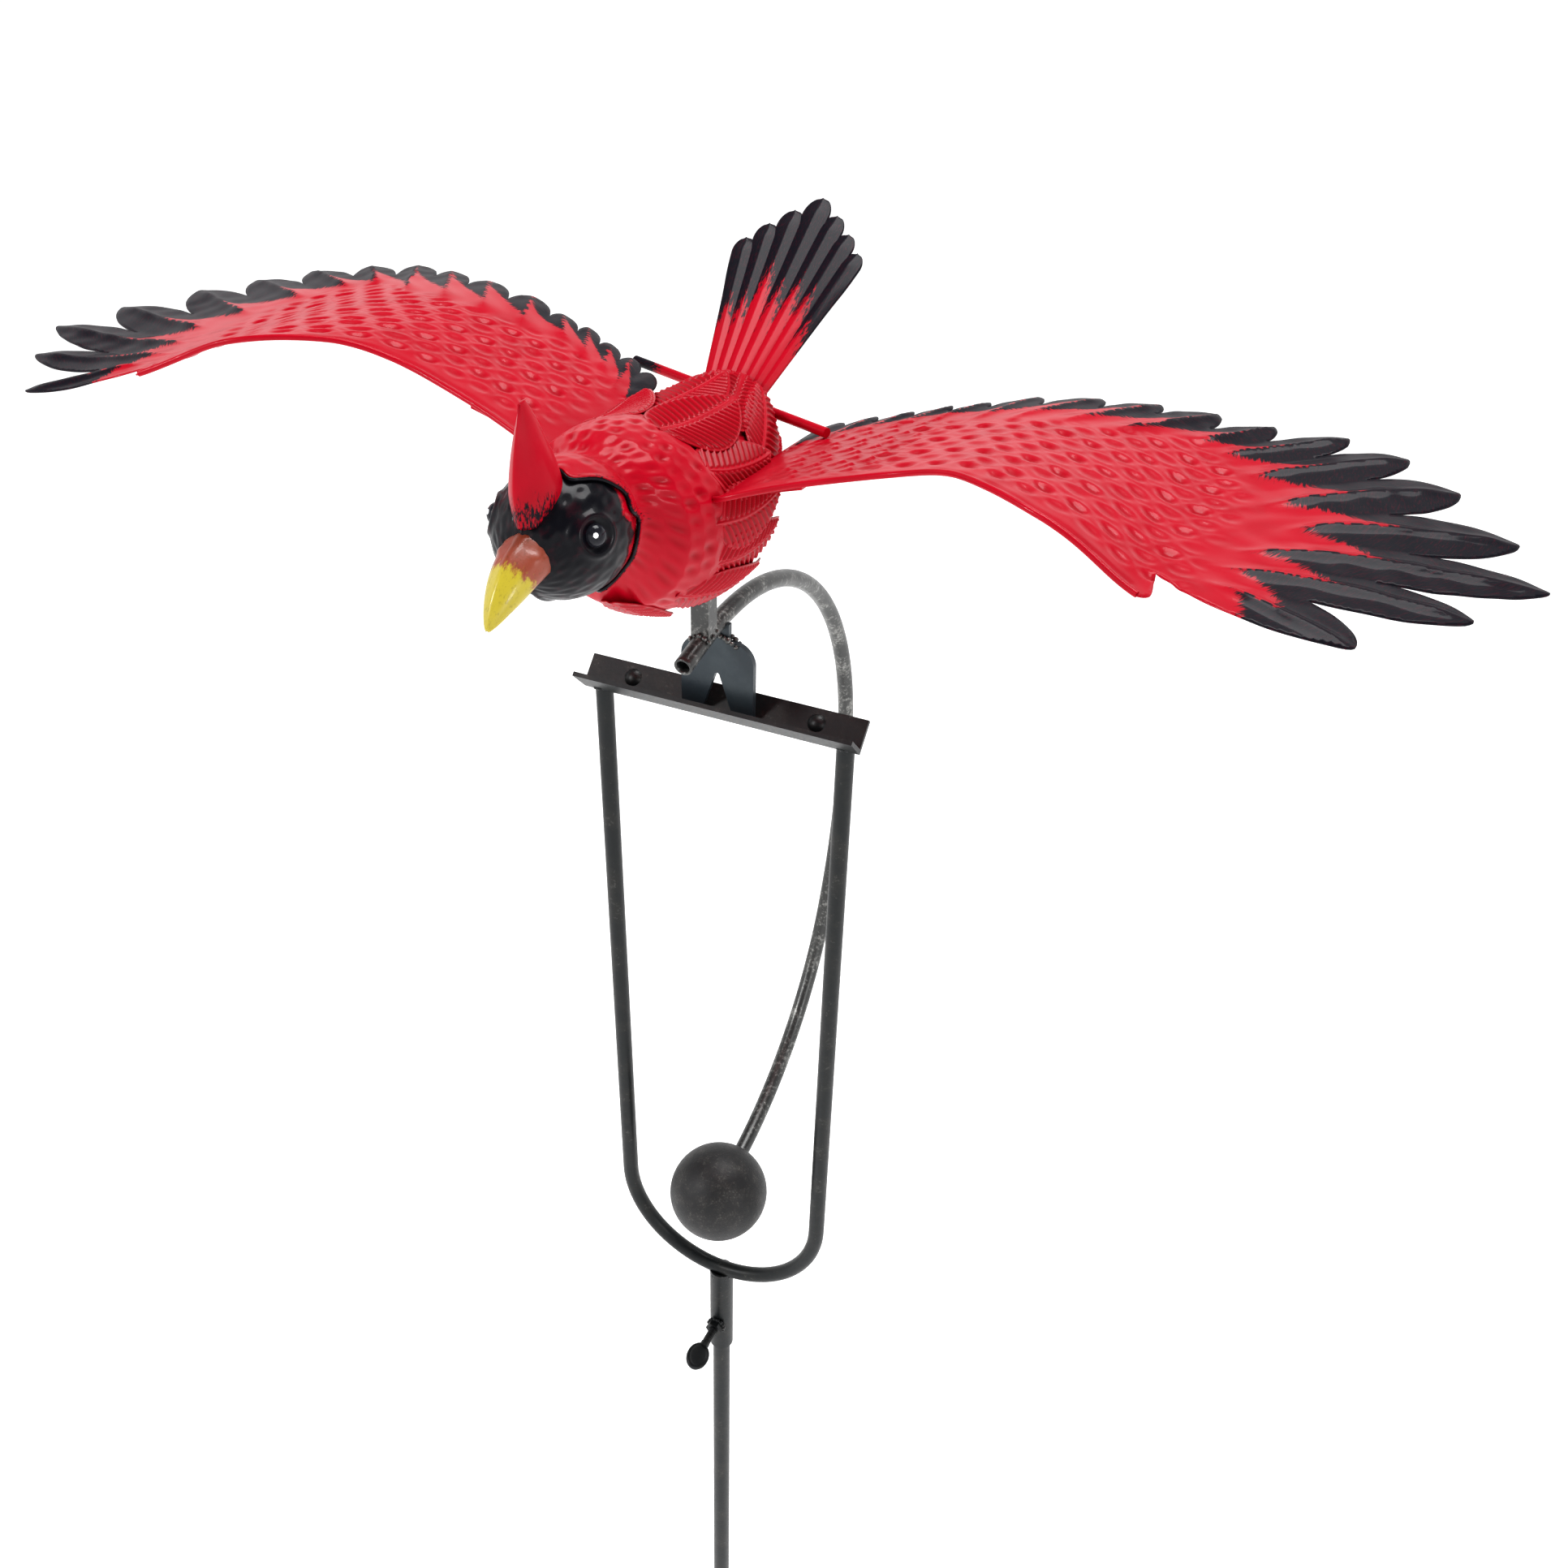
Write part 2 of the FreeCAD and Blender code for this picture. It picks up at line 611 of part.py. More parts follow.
def wing_outline():
    """Closed list of line and arc pieces round one wing's plan."""
    pieces = []
    for a, b in zip(LEADING_EDGE[:-1], LEADING_EDGE[1:]):
        pieces.append(("line", a, b))
    before = LEADING_EDGE[-1]
    for tip, notch in FEATHERS:
        pieces.extend(feather_edges(before, tip, notch))
        before = notch
    pieces.append(("line", before, LEADING_EDGE[0]))
    return pieces


def wing_slab(side, drop, thick):
    """Curved slab that holds the wing sheet, drop below its top face."""
    poles = []
    columns = [20 + 9.75 * k for k in range(31)]
    for x in columns:
        poles.append([V(side * x, y, wing_height(side, x, y) - drop) for y in (-125, -40, 20, 75)])
    surface = Part.BSplineSurface()
    surface.interpolate(poles)
    return surface.toShape().extrude(V(0, 0, -thick))


def wing(side):
    """Wing sheet: the curved slab cut to the feathered plan."""
    edges = []
    for piece in wing_outline():
        spots = [V(side * p[0], p[1], 60) for p in piece[1:]]
        curve = Part.LineSegment(*spots) if piece[0] == "line" else Part.Arc(*spots)
        edges.append(curve.toShape())
    cutter = Part.Face(Part.Wire(edges)).extrude(V(0, 0, 180))
    sheet = wing_slab(side, 0.0, WING_SHEET).common(cutter).cut(body_form(SHEET + 0.1))
    return max(sheet.Solids, key=lambda piece: piece.Volume)


def wing_straps():
    """Two strips from the shell to the wings' undersides."""
    strips = []
    for side in (-1, 1):
        slab = wing_slab(side, WING_SHEET, 1.5)
        box = Part.makeBox(40, 12, 120, V(26 if side > 0 else -66, -74, 80))
        strip = slab.common(box)
        strip = strip.cut(body_form(SHEET))
        strips.append(max(strip.Solids, key=lambda piece: piece.Volume))
    return Part.makeCompound(strips)


def brace_rod():
    """Rod across the rump that ties the two wings together."""
    rod = cylinder(BRACE_R, BRACE_ENDS[0], BRACE_ENDS[1])
    for side in (-1, 1):
        rod = rod.cut(wing_slab(side, 0.0, WING_SHEET + 6.0))
    return max(rod.Solids, key=lambda piece: piece.Volume)


BACK_LEAVES = ((-70, -14, -34, 13), (-70, -14, 34, 13), (-58, -6, 0, 12))
RUMP_LEAVES = ((-34, 12, -62, 11), (-34, 12, -20, 10), (-34, 12, 20, 10), (-34, 12, 62, 11))
SIDE_TURNS = (70, 96, 122)
BELLY_LEAVES = ((-84, -34, 148, 12), (-84, -34, -148, 12), (-60, -24, 180, 11))


def side_leaves(side):
    """Leaves down one flank."""
    return [(-78 + 3 * k, -18 + 3 * k, side * turn, 12) for k, turn in enumerate(SIDE_TURNS)]


def side_row(side, back):
    """One flank's leaves, which butt against the leaves of the back."""
    return leaf_row(-2 * SHEET, side_leaves(side)).cut(back)


def build():
    """Every sub-part under its node name."""
    parts = {
        "lower_pole": lower_pole(),
        "step_fork": step_fork(),
        "upper_pole": upper_pole(),
        "socket_sleeve": socket_sleeve(),
        "sleeve_nut": sleeve_nut(),
        "thumb_screw": thumb_screw(),
        "yoke_frame": yoke_frame(),
        "v_crossbar": v_crossbar(),
        "stop_rivets": stop_rivets(),
    }
    back = leaf_row(-2 * SHEET, BACK_LEAVES)
    bird = {
        "pivot_plate": pivot_plate(),
        "pendulum_arm": pendulum_arm(),
        "counterweight_ball": counterweight_ball(),
        "body_post": body_post(),
        "body_shell_left": body_shell(1),
        "body_shell_right": body_shell(-1),
        "rump_feathers": leaf_row(-3 * SHEET, RUMP_LEAVES),
        "back_feathers": back,
        "side_feathers_left": side_row(1, back),
        "side_feathers_right": side_row(-1, back),
        "belly_feathers": leaf_row(-SHEET, BELLY_LEAVES),
        "neck_collar": neck_collar(),
        "head_shell_left": head_shell(1),
        "head_shell_right": head_shell(-1),
        "upper_beak": beak_half(True),
        "lower_beak": beak_half(False),
        "crest": crest(),
        "eyes": eyes(),
        "tail_fan": tail_fan(),
        "wing_left": wing(1),
        "wing_right": wing(-1),
        "wing_straps": wing_straps(),
        "brace_rod": brace_rod(),
    }
    for name, shape in bird.items():
        parts[name] = lifted(shape)
    return parts


os.makedirs("parts", exist_ok=True)
for node, solid in build().items():
    write(node, solid)
    print(node, len(solid.Solids), "solids", round(solid.Volume), "mm3", "valid" if solid.isValid() else "INVALID")
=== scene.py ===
"""Looks of a rocking bird garden stake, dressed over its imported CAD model.

A sheet metal bird rocks on a knife edge in the groove of an angle bar, with a ball on a bent tube as its
counterweight, over a U-shaped yoke on a ground stake. Shapes are worked out in millimetres, with heights
measured from the groove's valley, and every mesh is stored in metres in the model's own frame.
"""
import json
import logging
import math
from dataclasses import dataclass, field
from enum import Enum
from typing import Callable

import bmesh
import bpy
import numpy as np
from mathutils import Matrix, Vector
from mathutils.geometry import delaunay_2d_cdt


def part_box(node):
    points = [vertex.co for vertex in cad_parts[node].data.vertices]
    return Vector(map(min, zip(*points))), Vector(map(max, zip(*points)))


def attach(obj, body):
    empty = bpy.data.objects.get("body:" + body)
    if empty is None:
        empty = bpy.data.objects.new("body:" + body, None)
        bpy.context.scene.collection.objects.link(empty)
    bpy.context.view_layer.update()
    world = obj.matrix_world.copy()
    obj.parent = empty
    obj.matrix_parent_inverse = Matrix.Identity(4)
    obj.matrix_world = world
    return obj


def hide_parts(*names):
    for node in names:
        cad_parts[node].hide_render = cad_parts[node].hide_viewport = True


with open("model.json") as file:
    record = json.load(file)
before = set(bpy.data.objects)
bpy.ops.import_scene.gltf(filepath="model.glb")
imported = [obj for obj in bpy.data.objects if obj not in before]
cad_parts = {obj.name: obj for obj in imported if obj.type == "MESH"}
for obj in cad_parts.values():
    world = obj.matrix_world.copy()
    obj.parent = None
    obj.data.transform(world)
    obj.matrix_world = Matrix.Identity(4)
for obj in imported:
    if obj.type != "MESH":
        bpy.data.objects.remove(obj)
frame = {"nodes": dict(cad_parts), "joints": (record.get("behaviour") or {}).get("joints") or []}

log = logging.getLogger("bird_stake")

Array = np.ndarray
Fields = dict[str, Array]

HINGE_LIFT = 2.4    # the rocking line lies this far above the groove's valley, in millimetres
BODY_AXIS = 122.0   # height of the body's middle above the valley, in millimetres
MM = 0.001


def pivot_height() -> float:
    """Height of the groove's valley above the ground.

    Returns:
        The height in millimetres, read from the rocking joint.
    """
    rock = next(joint for joint in frame["joints"] if joint["name"] == "bird_rock")
    return rock["pos_m"][2] / MM - HINGE_LIFT


PIVOT = pivot_height()
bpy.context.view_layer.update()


class Side(Enum):
    """The bird's two sides, as the sign of X."""

    LEFT = 1
    RIGHT = -1


class Slot(Enum):
    """The record's material slots that mounted pieces use."""

    RED = "red_paint"
    MASK = "mask_paint"
    BEAK = "beak_paint"
    EYE = "eye_paint"
    STAND = "stand_paint"
    BALL = "ball_iron"


# ---------------------------------------------------------------- small maths

def ease(value: Array | float, low: float, high: float) -> Array:
    """Smooth step.

    Args:
        value: What is measured.
        low: Where the step begins.
        high: Where the step ends.

    Returns:
        0 before low and 1 after high, rising smoothly between them.
    """
    share = np.clip((np.asarray(value, float) - low) / (high - low), 0.0, 1.0)
    return share * share * (3.0 - 2.0 * share)


def bell(value: Array | float, width: float) -> Array:
    """A smooth bump of height 1 at 0, about width wide to each side."""
    return np.exp(-((np.asarray(value, float) / width) ** 2))


def smooth_read(rows: tuple, x: Array | float, column: int) -> Array:
    """Catmull-Rom reading of a table whose first column rises.

    Args:
        rows: The table.
        x: Where to read it.
        column: Which column to read.

    Returns:
        The values at x.
    """
    table = np.array(rows, float)
    xs, ps = table[:, 0], table[:, column]
    slopes = np.empty_like(ps)
    slopes[0] = (ps[1] - ps[0]) / (xs[1] - xs[0])
    slopes[-1] = (ps[-1] - ps[-2]) / (xs[-1] - xs[-2])
    slopes[1:-1] = (ps[2:] - ps[:-2]) / (xs[2:] - xs[:-2])
    x = np.asarray(x, float)
    i = np.clip(np.searchsorted(xs, x) - 1, 0, len(xs) - 2)
    span = xs[i + 1] - xs[i]
    t = (x - xs[i]) / span
    return ((2 * t ** 3 - 3 * t ** 2 + 1) * ps[i] + (t ** 3 - 2 * t ** 2 + t) * span * slopes[i]
            + (3 * t ** 2 - 2 * t ** 3) * ps[i + 1] + (t ** 3 - t ** 2) * span * slopes[i + 1])


def smooth_path(points: list[tuple], per_span: int) -> Array:
    """A Catmull-Rom curve through points.

    Args:
        points: The points it goes through.
        per_span: How many steps each span is cut into.

    Returns:
        The curve's points, the first and last included.
    """
    keys = np.array(points, float)
    rows = np.column_stack([np.arange(len(keys)), keys])
    where = np.linspace(0, len(keys) - 1, per_span * (len(keys) - 1) + 1)
    return np.column_stack([smooth_read(rows, where, c + 1) for c in range(keys.shape[1])])


def polyline_distance(points: Array, line: Array) -> Array:
    """Shortest distance from each plan point to a polyline.

    Args:
        points: Plan points, one a row.
        line: The polyline's points.

    Returns:
        One distance a point.
    """
    best = np.full(len(points), 1e9)
    for a, b in zip(line[:-1], line[1:]):
        along = b - a
        share = np.clip(((points - a) @ along) / (along @ along), 0.0, 1.0)
        best = np.minimum(best, np.linalg.norm(points - a - share[:, None] * along, axis=1))
    return best


# ---------------------------------------------------------------- node and mesh helpers

class Nodes:
    """Short hand for building one node tree."""

    def __init__(self, tree: bpy.types.NodeTree) -> None:
        """Keep the tree."""
        self.tree = tree

    def add(self, kind: str, values: dict | None = None, **settings: object) -> bpy.types.Node:
        """Add a node.

        Args:
            kind: The node's type name.
            values: What each input gets, by name or number: a value, or a socket to link.
            settings: The node's own settings.

        Returns:
            The new node.
        """
        node = self.tree.nodes.new(kind)
        for key, value in settings.items():
            setattr(node, key, value)
        self.give(node, values or {})
        return node

    def give(self, node: bpy.types.Node, values: dict) -> None:
        """Fill a node's inputs, by name or number, each with a value or with a socket to link."""
        for key, value in values.items():
            if isinstance(value, bpy.types.NodeSocket):
                self.tree.links.new(value, node.inputs[key])
            else:
                node.inputs[key].default_value = value

    def sum(self, kind: str, *values: object) -> bpy.types.NodeSocket:
        """The result of a Math node of one operation on values or sockets."""
        return self.add("ShaderNodeMath", dict(enumerate(values)), operation=kind).outputs[0]

    def noise(self, where: bpy.types.NodeSocket, scale: float, detail: float = 3.0) -> bpy.types.NodeSocket:
        """Cloudy noise from 0 to 1 at a position."""
        values = {"Vector": where, "Scale": scale, "Detail": detail, "Roughness": 0.6}
        return self.add("ShaderNodeTexNoise", values).outputs["Fac"]

    def span(self, value: bpy.types.NodeSocket, low: float, high: float) -> bpy.types.NodeSocket:
        """A value stretched so that low becomes 0 and high becomes 1, with soft ends."""
        values = {"Value": value, "From Min": low, "From Max": high}
        return self.add("ShaderNodeMapRange", values, interpolation_type="SMOOTHSTEP").outputs[0]

    def blend(self, share: object, one: object, other: object) -> bpy.types.NodeSocket:
        """A mix of two colours, the first where share is 0."""
        values = {0: share, 6: one, 7: other}
        return self.add("ShaderNodeMix", values, data_type="RGBA").outputs[2]

    def attribute(self, name: str, output: str = "Fac") -> bpy.types.NodeSocket:
        """A value stored on the mesh."""
        return self.add("ShaderNodeAttribute", attribute_name=name).outputs[output]

    def place(self) -> bpy.types.NodeSocket:
        """Object coordinates."""
        return self.add("ShaderNodeTexCoord").outputs["Object"]

    def bump(self, height: bpy.types.NodeSocket, strength: float, depth: float) -> bpy.types.NodeSocket:
        """A surface normal moved by a height, depth in metres."""
        values = {"Strength": strength, "Distance": depth, "Height": height}
        return self.add("ShaderNodeBump", values).outputs[0]


Colour = tuple[float, float, float, float]


def colour(red: float, green: float, blue: float) -> Colour:
    """A linear colour with full alpha."""
    return (red, green, blue, 1.0)


def new_material(name: str) -> tuple[bpy.types.Material, Nodes, bpy.types.Node]:
    """An empty material with one Principled shader.

    Args:
        name: The material's name.

    Returns:
        The material, its node helper and the shader.
    """
    material = bpy.data.materials.new(name)
    material.use_nodes = True
    material.node_tree.nodes.clear()
    nodes = Nodes(material.node_tree)
    shader = nodes.add("ShaderNodeBsdfPrincipled")
    nodes.add("ShaderNodeOutputMaterial", {"Surface": shader.outputs[0]})
    return material, nodes, shader


def to_frame(points: Array) -> Array:
    """Points in millimetres from the valley, as metres in the model's frame."""
    return (np.asarray(points, float) + (0.0, 0.0, PIVOT)) * MM


def grid_faces(rows: int, columns: int, closed: bool = False) -> list[tuple[int, ...]]:
    """Quads over a grid of points stored row after row.

    Args:
        rows: How many rows.
        columns: How many points a row.
        closed: Whether each row is a ring.

    Returns:
        The quads.
    """
    faces = []
    for i in range(rows - 1):
        for j in range(columns if closed else columns - 1):
            k = (j + 1) % columns
            faces.append((i * columns + j, i * columns + k, (i + 1) * columns + k, (i + 1) * columns + j))
    return faces


def stacked(*axes: Array | float) -> Array:
    """Coordinates spread over one grid and stacked last."""
    return np.stack(np.broadcast_arrays(*axes), axis=-1)


def store(mesh: bpy.types.Mesh, fields: Fields, shape: tuple[int, ...]) -> None:
    """Store values on a mesh's points.

    Args:
        mesh: The mesh.
        fields: The values by name, one number or three a point.
        shape: The shape of the points' array, which the values are spread over.
    """
    for key, values in fields.items():
        values = np.asarray(values, np.float32)
        vector = values.ndim == len(shape)
        kind, part = ("FLOAT_VECTOR", "vector") if vector else ("FLOAT", "value")
        spread = np.broadcast_to(values, shape if vector else shape[:-1])
        mesh.attributes.new(key, kind, "POINT").data.foreach_set(part, spread.ravel())


def make_mesh(name: str, points: Array, faces: list, fields: Fields | None = None) -> bpy.types.Object:
    """A smooth mesh object.

    Args:
        name: The object's name.
        points: Points in millimetres from the valley, one a row or in a grid.
        faces: The faces.
        fields: Values to store on the points, by name: one number or three a point.

    Returns:
        The object, in the scene.
    """
    mesh = bpy.data.meshes.new(name)
    mesh.from_pydata(to_frame(points).reshape(-1, 3).tolist(), [], faces)
    store(mesh, fields or {}, points.shape)
    mesh.validate()
    mesh.shade_smooth()
    obj = bpy.data.objects.new(name, mesh)
    bpy.context.scene.collection.objects.link(obj)
    return obj


def make_sheet(name: str, points: Array, fields: Fields | None = None, closed: bool = False) -> bpy.types.Object:
    """A smooth mesh over a grid of points, whose rows are rings where it is closed."""
    return make_mesh(name, points, grid_faces(*points.shape[:2], closed), fields)


def weld(obj: bpy.types.Object, gap: float = 0.01) -> None:
    """Merge points closer than gap millimetres and turn the faces outwards."""
    work = bmesh.new()
    work.from_mesh(obj.data)
    bmesh.ops.remove_doubles(work, verts=work.verts, dist=gap * MM)
    bmesh.ops.dissolve_degenerate(work, edges=work.edges, dist=gap * MM * 0.1)
    bmesh.ops.recalc_face_normals(work, faces=work.faces)
    work.to_mesh(obj.data)
    work.free()


def face_towards(obj: bpy.types.Object, outward: Callable[[Vector, Vector], float]) -> None:
    """Flip a sheet whose faces look the wrong way.

    Args:
        obj: The sheet.
        outward: Given a face's middle and normal, positive where it looks out.
    """
    score = sum(outward(face.center, face.normal) * face.area for face in obj.data.polygons)
    if score < 0:
        obj.data.flip_normals()


def face_off_axis(obj: bpy.types.Object) -> None:
    """Flip a sheet that lies round the body's axis and looks inwards."""
    face_towards(obj, lambda at, normal: normal.dot(at - Vector((0, at.y, (PIVOT + BODY_AXIS) * MM))))


def cad_box(node: str) -> Array:
    """Low and high corner of a CAD node, in millimetres from the valley."""
    return np.array([tuple(corner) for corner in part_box(node)]) / MM - (0.0, 0.0, PIVOT)


def thicken(obj: bpy.types.Object, thickness: float) -> None:
    """Give a sheet its thickness in millimetres, below its faces."""
    modifier = obj.modifiers.new("Thickness", "SOLIDIFY")
    modifier.thickness = thickness * MM
    modifier.offset = -1.0
    modifier.use_even_offset = False
    modifier.use_quality_normals = True


def join(name: str, pieces: list[bpy.types.Object]) -> bpy.types.Object:
    """Join pieces into the first one.

    Args:
        name: The joined piece's name.
        pieces: Pieces without live modifiers.

    Returns:
        The joined piece.
    """
    with bpy.context.temp_override(active_object=pieces[0], selected_editable_objects=pieces):
        bpy.ops.object.join()
    pieces[0].name = name
    pieces[0].data.name = name
    return pieces[0]


@dataclass
class Workshop:
    """Mounts finished pieces on their bodies and keeps count of them."""

    count: int = 0

    def fit(self, obj: bpy.types.Object, body: str, slot: Slot, material: bpy.types.Material,
            replaced: tuple[str, ...] = ()) -> None:
        """Paint a piece and let it ride.

        Args:
            obj: The piece.
            body: The body that it moves with.
            slot: The record's material slot.
            material: Its paint.
            replaced: The CAD nodes that it stands for.
        """
        obj.data.materials.clear()
        obj.data.materials.append(material)
        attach(obj, body)
        if replaced:
            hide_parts(*replaced)
        self.count += 1
        log.info("%s rides on %s, in %s", obj.name, body, slot.value)

    def repaint(self, node: str, material: bpy.types.Material) -> None:
        """Give a kept CAD node its paint."""
        mesh = frame["nodes"][node].data
        mesh.materials.clear()
        mesh.materials.append(material)
        self.count += 1
        log.info("%s keeps its shape", node)


# ---------------------------------------------------------------- geometry node trees

class GrownTree:
    """A Geometry Nodes tree with named inputs, which turns a guide mesh into a plain mesh."""

    def __init__(self, name: str, inputs: dict[str, str]) -> None:
        """Start the tree.

        Args:
            name: Its name.
            inputs: The socket type of each named input.
        """
        self.tree = bpy.data.node_groups.new(name, "GeometryNodeTree")
        self.nodes = Nodes(self.tree)
        self.keys: dict[str, str] = {}
        self.tree.interface.new_socket("Geometry", in_out="INPUT", socket_type="NodeSocketGeometry")
        for label, kind in inputs.items():
            socket = self.tree.interface.new_socket(label, in_out="INPUT", socket_type=kind)
            self.keys[label] = socket.identifier
        self.tree.interface.new_socket("Geometry", in_out="OUTPUT", socket_type="NodeSocketGeometry")
        self.given = self.nodes.add("NodeGroupInput").outputs

    def close(self, result: bpy.types.NodeSocket) -> None:
        """End the tree: realised, smooth and painted."""
        real = self.nodes.add("GeometryNodeRealizeInstances", {"Geometry": result})
        smooth = self.nodes.add("GeometryNodeSetShadeSmooth", {"Geometry": real.outputs[0]})
        values = {"Geometry": smooth.outputs[0], "Material": self.given["Finish"]}
        painted = self.nodes.add("GeometryNodeSetMaterial", values)
        self.nodes.add("NodeGroupOutput", {"Geometry": painted.outputs[0]})

    def grow(self, name: str, points: Array, edges: list[tuple[int, int]], **inputs: object) -> bpy.types.Object:
        """Run the tree on a guide.

        Args:
            name: The new piece's name.
            points: The guide's points, in millimetres from the valley.
            edges: The guide's edges.
            inputs: A value for each named input.

        Returns:
            A plain mesh object.
        """
        guide = bpy.data.meshes.new(name + "_guide")
        guide.from_pydata(to_frame(points).tolist(), edges, [])
        host = bpy.data.objects.new(name + "_host", guide)
        bpy.context.scene.collection.objects.link(host)
        modifier = host.modifiers.new("Grow", "NODES")
        modifier.node_group = self.tree
        for label, value in inputs.items():
            modifier[self.keys[label]] = value
        bpy.context.view_layer.update()
        depsgraph = bpy.context.evaluated_depsgraph_get()
        mesh = bpy.data.meshes.new_from_object(host.evaluated_get(depsgraph))
        mesh.name = name
        bpy.data.objects.remove(host)
        bpy.data.meshes.remove(guide)
        obj = bpy.data.objects.new(name, mesh)
        bpy.context.scene.collection.objects.link(obj)
        return obj


class RodTree(GrownTree):
    """A round rod along a path, whose thickness wavers by a share of itself."""

    def __init__(self) -> None:
        """Build the tree."""
        super().__init__("Rod along path", {
            "Radius": "NodeSocketFloat", "Sides": "NodeSocketInt", "Step": "NodeSocketFloat",
            "Waver": "NodeSocketFloat", "Finish": "NodeSocketMaterial"})
        add, given = self.nodes.add, self.given
        line = add("GeometryNodeMeshToCurve", {"Mesh": given["Geometry"]}).outputs[0]
        line = add("GeometryNodeResampleCurve", {"Curve": line, "Length": given["Step"]}, mode="LENGTH").outputs[0]
        where = add("GeometryNodeInputPosition").outputs[0]
        cloud = self.nodes.noise(where, 420.0, 1.0)
        sway = self.nodes.sum("MULTIPLY", self.nodes.sum("SUBTRACT", cloud, 0.5), given["Waver"])
        values = {"Curve": line, "Radius": self.nodes.sum("ADD", sway, 1.0)}
        line = add("GeometryNodeSetCurveRadius", values).outputs[0]
        ring = add("GeometryNodeCurvePrimitiveCircle", {"Resolution": given["Sides"], "Radius": given["Radius"]})
        radius = add("GeometryNodeInputRadius").outputs[0]
        values = {"Curve": line, "Profile Curve": ring.outputs[0], "Scale": radius, "Fill Caps": True}
        self.close(add("GeometryNodeCurveToMesh", values).outputs[0])

    def rod(self, name: str, path: Array, radius: float, material: bpy.types.Material, sides: int = 12,
            step: float = 1.0, waver: float = 0.0) -> bpy.types.Object:
        """A rod along a path.

        Args:
            name: The piece's name.
            path: Points in millimetres from the valley.
            radius: Its radius in millimetres.
            material: Its paint.
            sides: How many sides its section has.
            step: How far apart its rings are, in millimetres.
            waver: How much its thickness varies, as a share.

        Returns:
            The rod.
        """
        edges = [(i, i + 1) for i in range(len(path) - 1)]
        return self.grow(name, path, edges, Radius=radius * MM, Sides=sides, Step=step * MM, Waver=waver,
                         Finish=material)


class ThreadTree(GrownTree):
    """A screw thread: a spiral ridge round a bar that points along Z, placed on a guide's point."""

    def __init__(self) -> None:
        """Build the tree."""
        super().__init__("Screw thread", {
            "Radius": "NodeSocketFloat", "Length": "NodeSocketFloat", "Turns": "NodeSocketFloat",
            "Ridge": "NodeSocketFloat", "Lean": "NodeSocketVector", "Finish": "NodeSocketMaterial"})
        add, given = self.nodes.add, self.given
        values = {"Resolution": 20, "Rotations": given["Turns"], "Start Radius": given["Radius"],
                  "End Radius": given["Radius"], "Height": given["Length"]}
        spiral = add("GeometryNodeCurveSpiral", values).outputs[0]
        ring = add("GeometryNodeCurvePrimitiveCircle", {"Resolution": 5, "Radius": given["Ridge"]}).outputs[0]
        values = {"Curve": spiral, "Profile Curve": ring, "Fill Caps": True}
        ridge = add("GeometryNodeCurveToMesh", values).outputs[0]
        spots = add("GeometryNodeMeshToPoints", {"Mesh": given["Geometry"]}).outputs[0]
        values = {"Points": spots, "Instance": ridge, "Rotation": given["Lean"]}
        self.close(add("GeometryNodeInstanceOnPoints", values).outputs[0])


class BlobTree(GrownTree):
    """Lumpy drops on a guide's points, as weld beads."""

    def __init__(self) -> None:
        """Build the tree."""
        super().__init__("Drops on points", {
            "Radius": "NodeSocketFloat", "Lumps": "NodeSocketFloat", "Seed": "NodeSocketInt",
            "Finish": "NodeSocketMaterial"})
        add, given = self.nodes.add, self.given
        ball = add("GeometryNodeMeshIcoSphere", {"Radius": given["Radius"], "Subdivisions": 3}).outputs[0]
        spots = add("GeometryNodeMeshToPoints", {"Mesh": given["Geometry"]}).outputs[0]
        size = add("FunctionNodeRandomValue", {2: 0.75, 3: 1.2, "Seed": given["Seed"]}, data_type="FLOAT")
        values = {"Points": spots, "Instance": ball, "Scale": size.outputs[1]}
        drops = add("GeometryNodeInstanceOnPoints", values).outputs[0]
        real = add("GeometryNodeRealizeInstances", {"Geometry": drops}).outputs[0]
        cloud = self.nodes.noise(add("GeometryNodeInputPosition").outputs[0], 500.0, 2.0)
        push = self.nodes.sum("MULTIPLY", self.nodes.sum("SUBTRACT", cloud, 0.5), given["Lumps"])
        normal = add("GeometryNodeInputNormal").outputs[0]
        offset = add("ShaderNodeVectorMath", {0: normal, "Scale": push}, operation="SCALE").outputs[0]
        self.close(add("GeometryNodeSetPosition", {"Geometry": real, "Offset": offset}).outputs[0])

    def drops(self, name: str, spots: Array, radius: float, material: bpy.types.Material,
              lumps: float = 0.4, seed: int = 1) -> bpy.types.Object:
        """Drops at spots, all lengths in millimetres."""
        return self.grow(name, spots, [], Radius=radius * MM, Lumps=lumps * MM, Seed=seed, Finish=material)


# ---------------------------------------------------------------- finishes

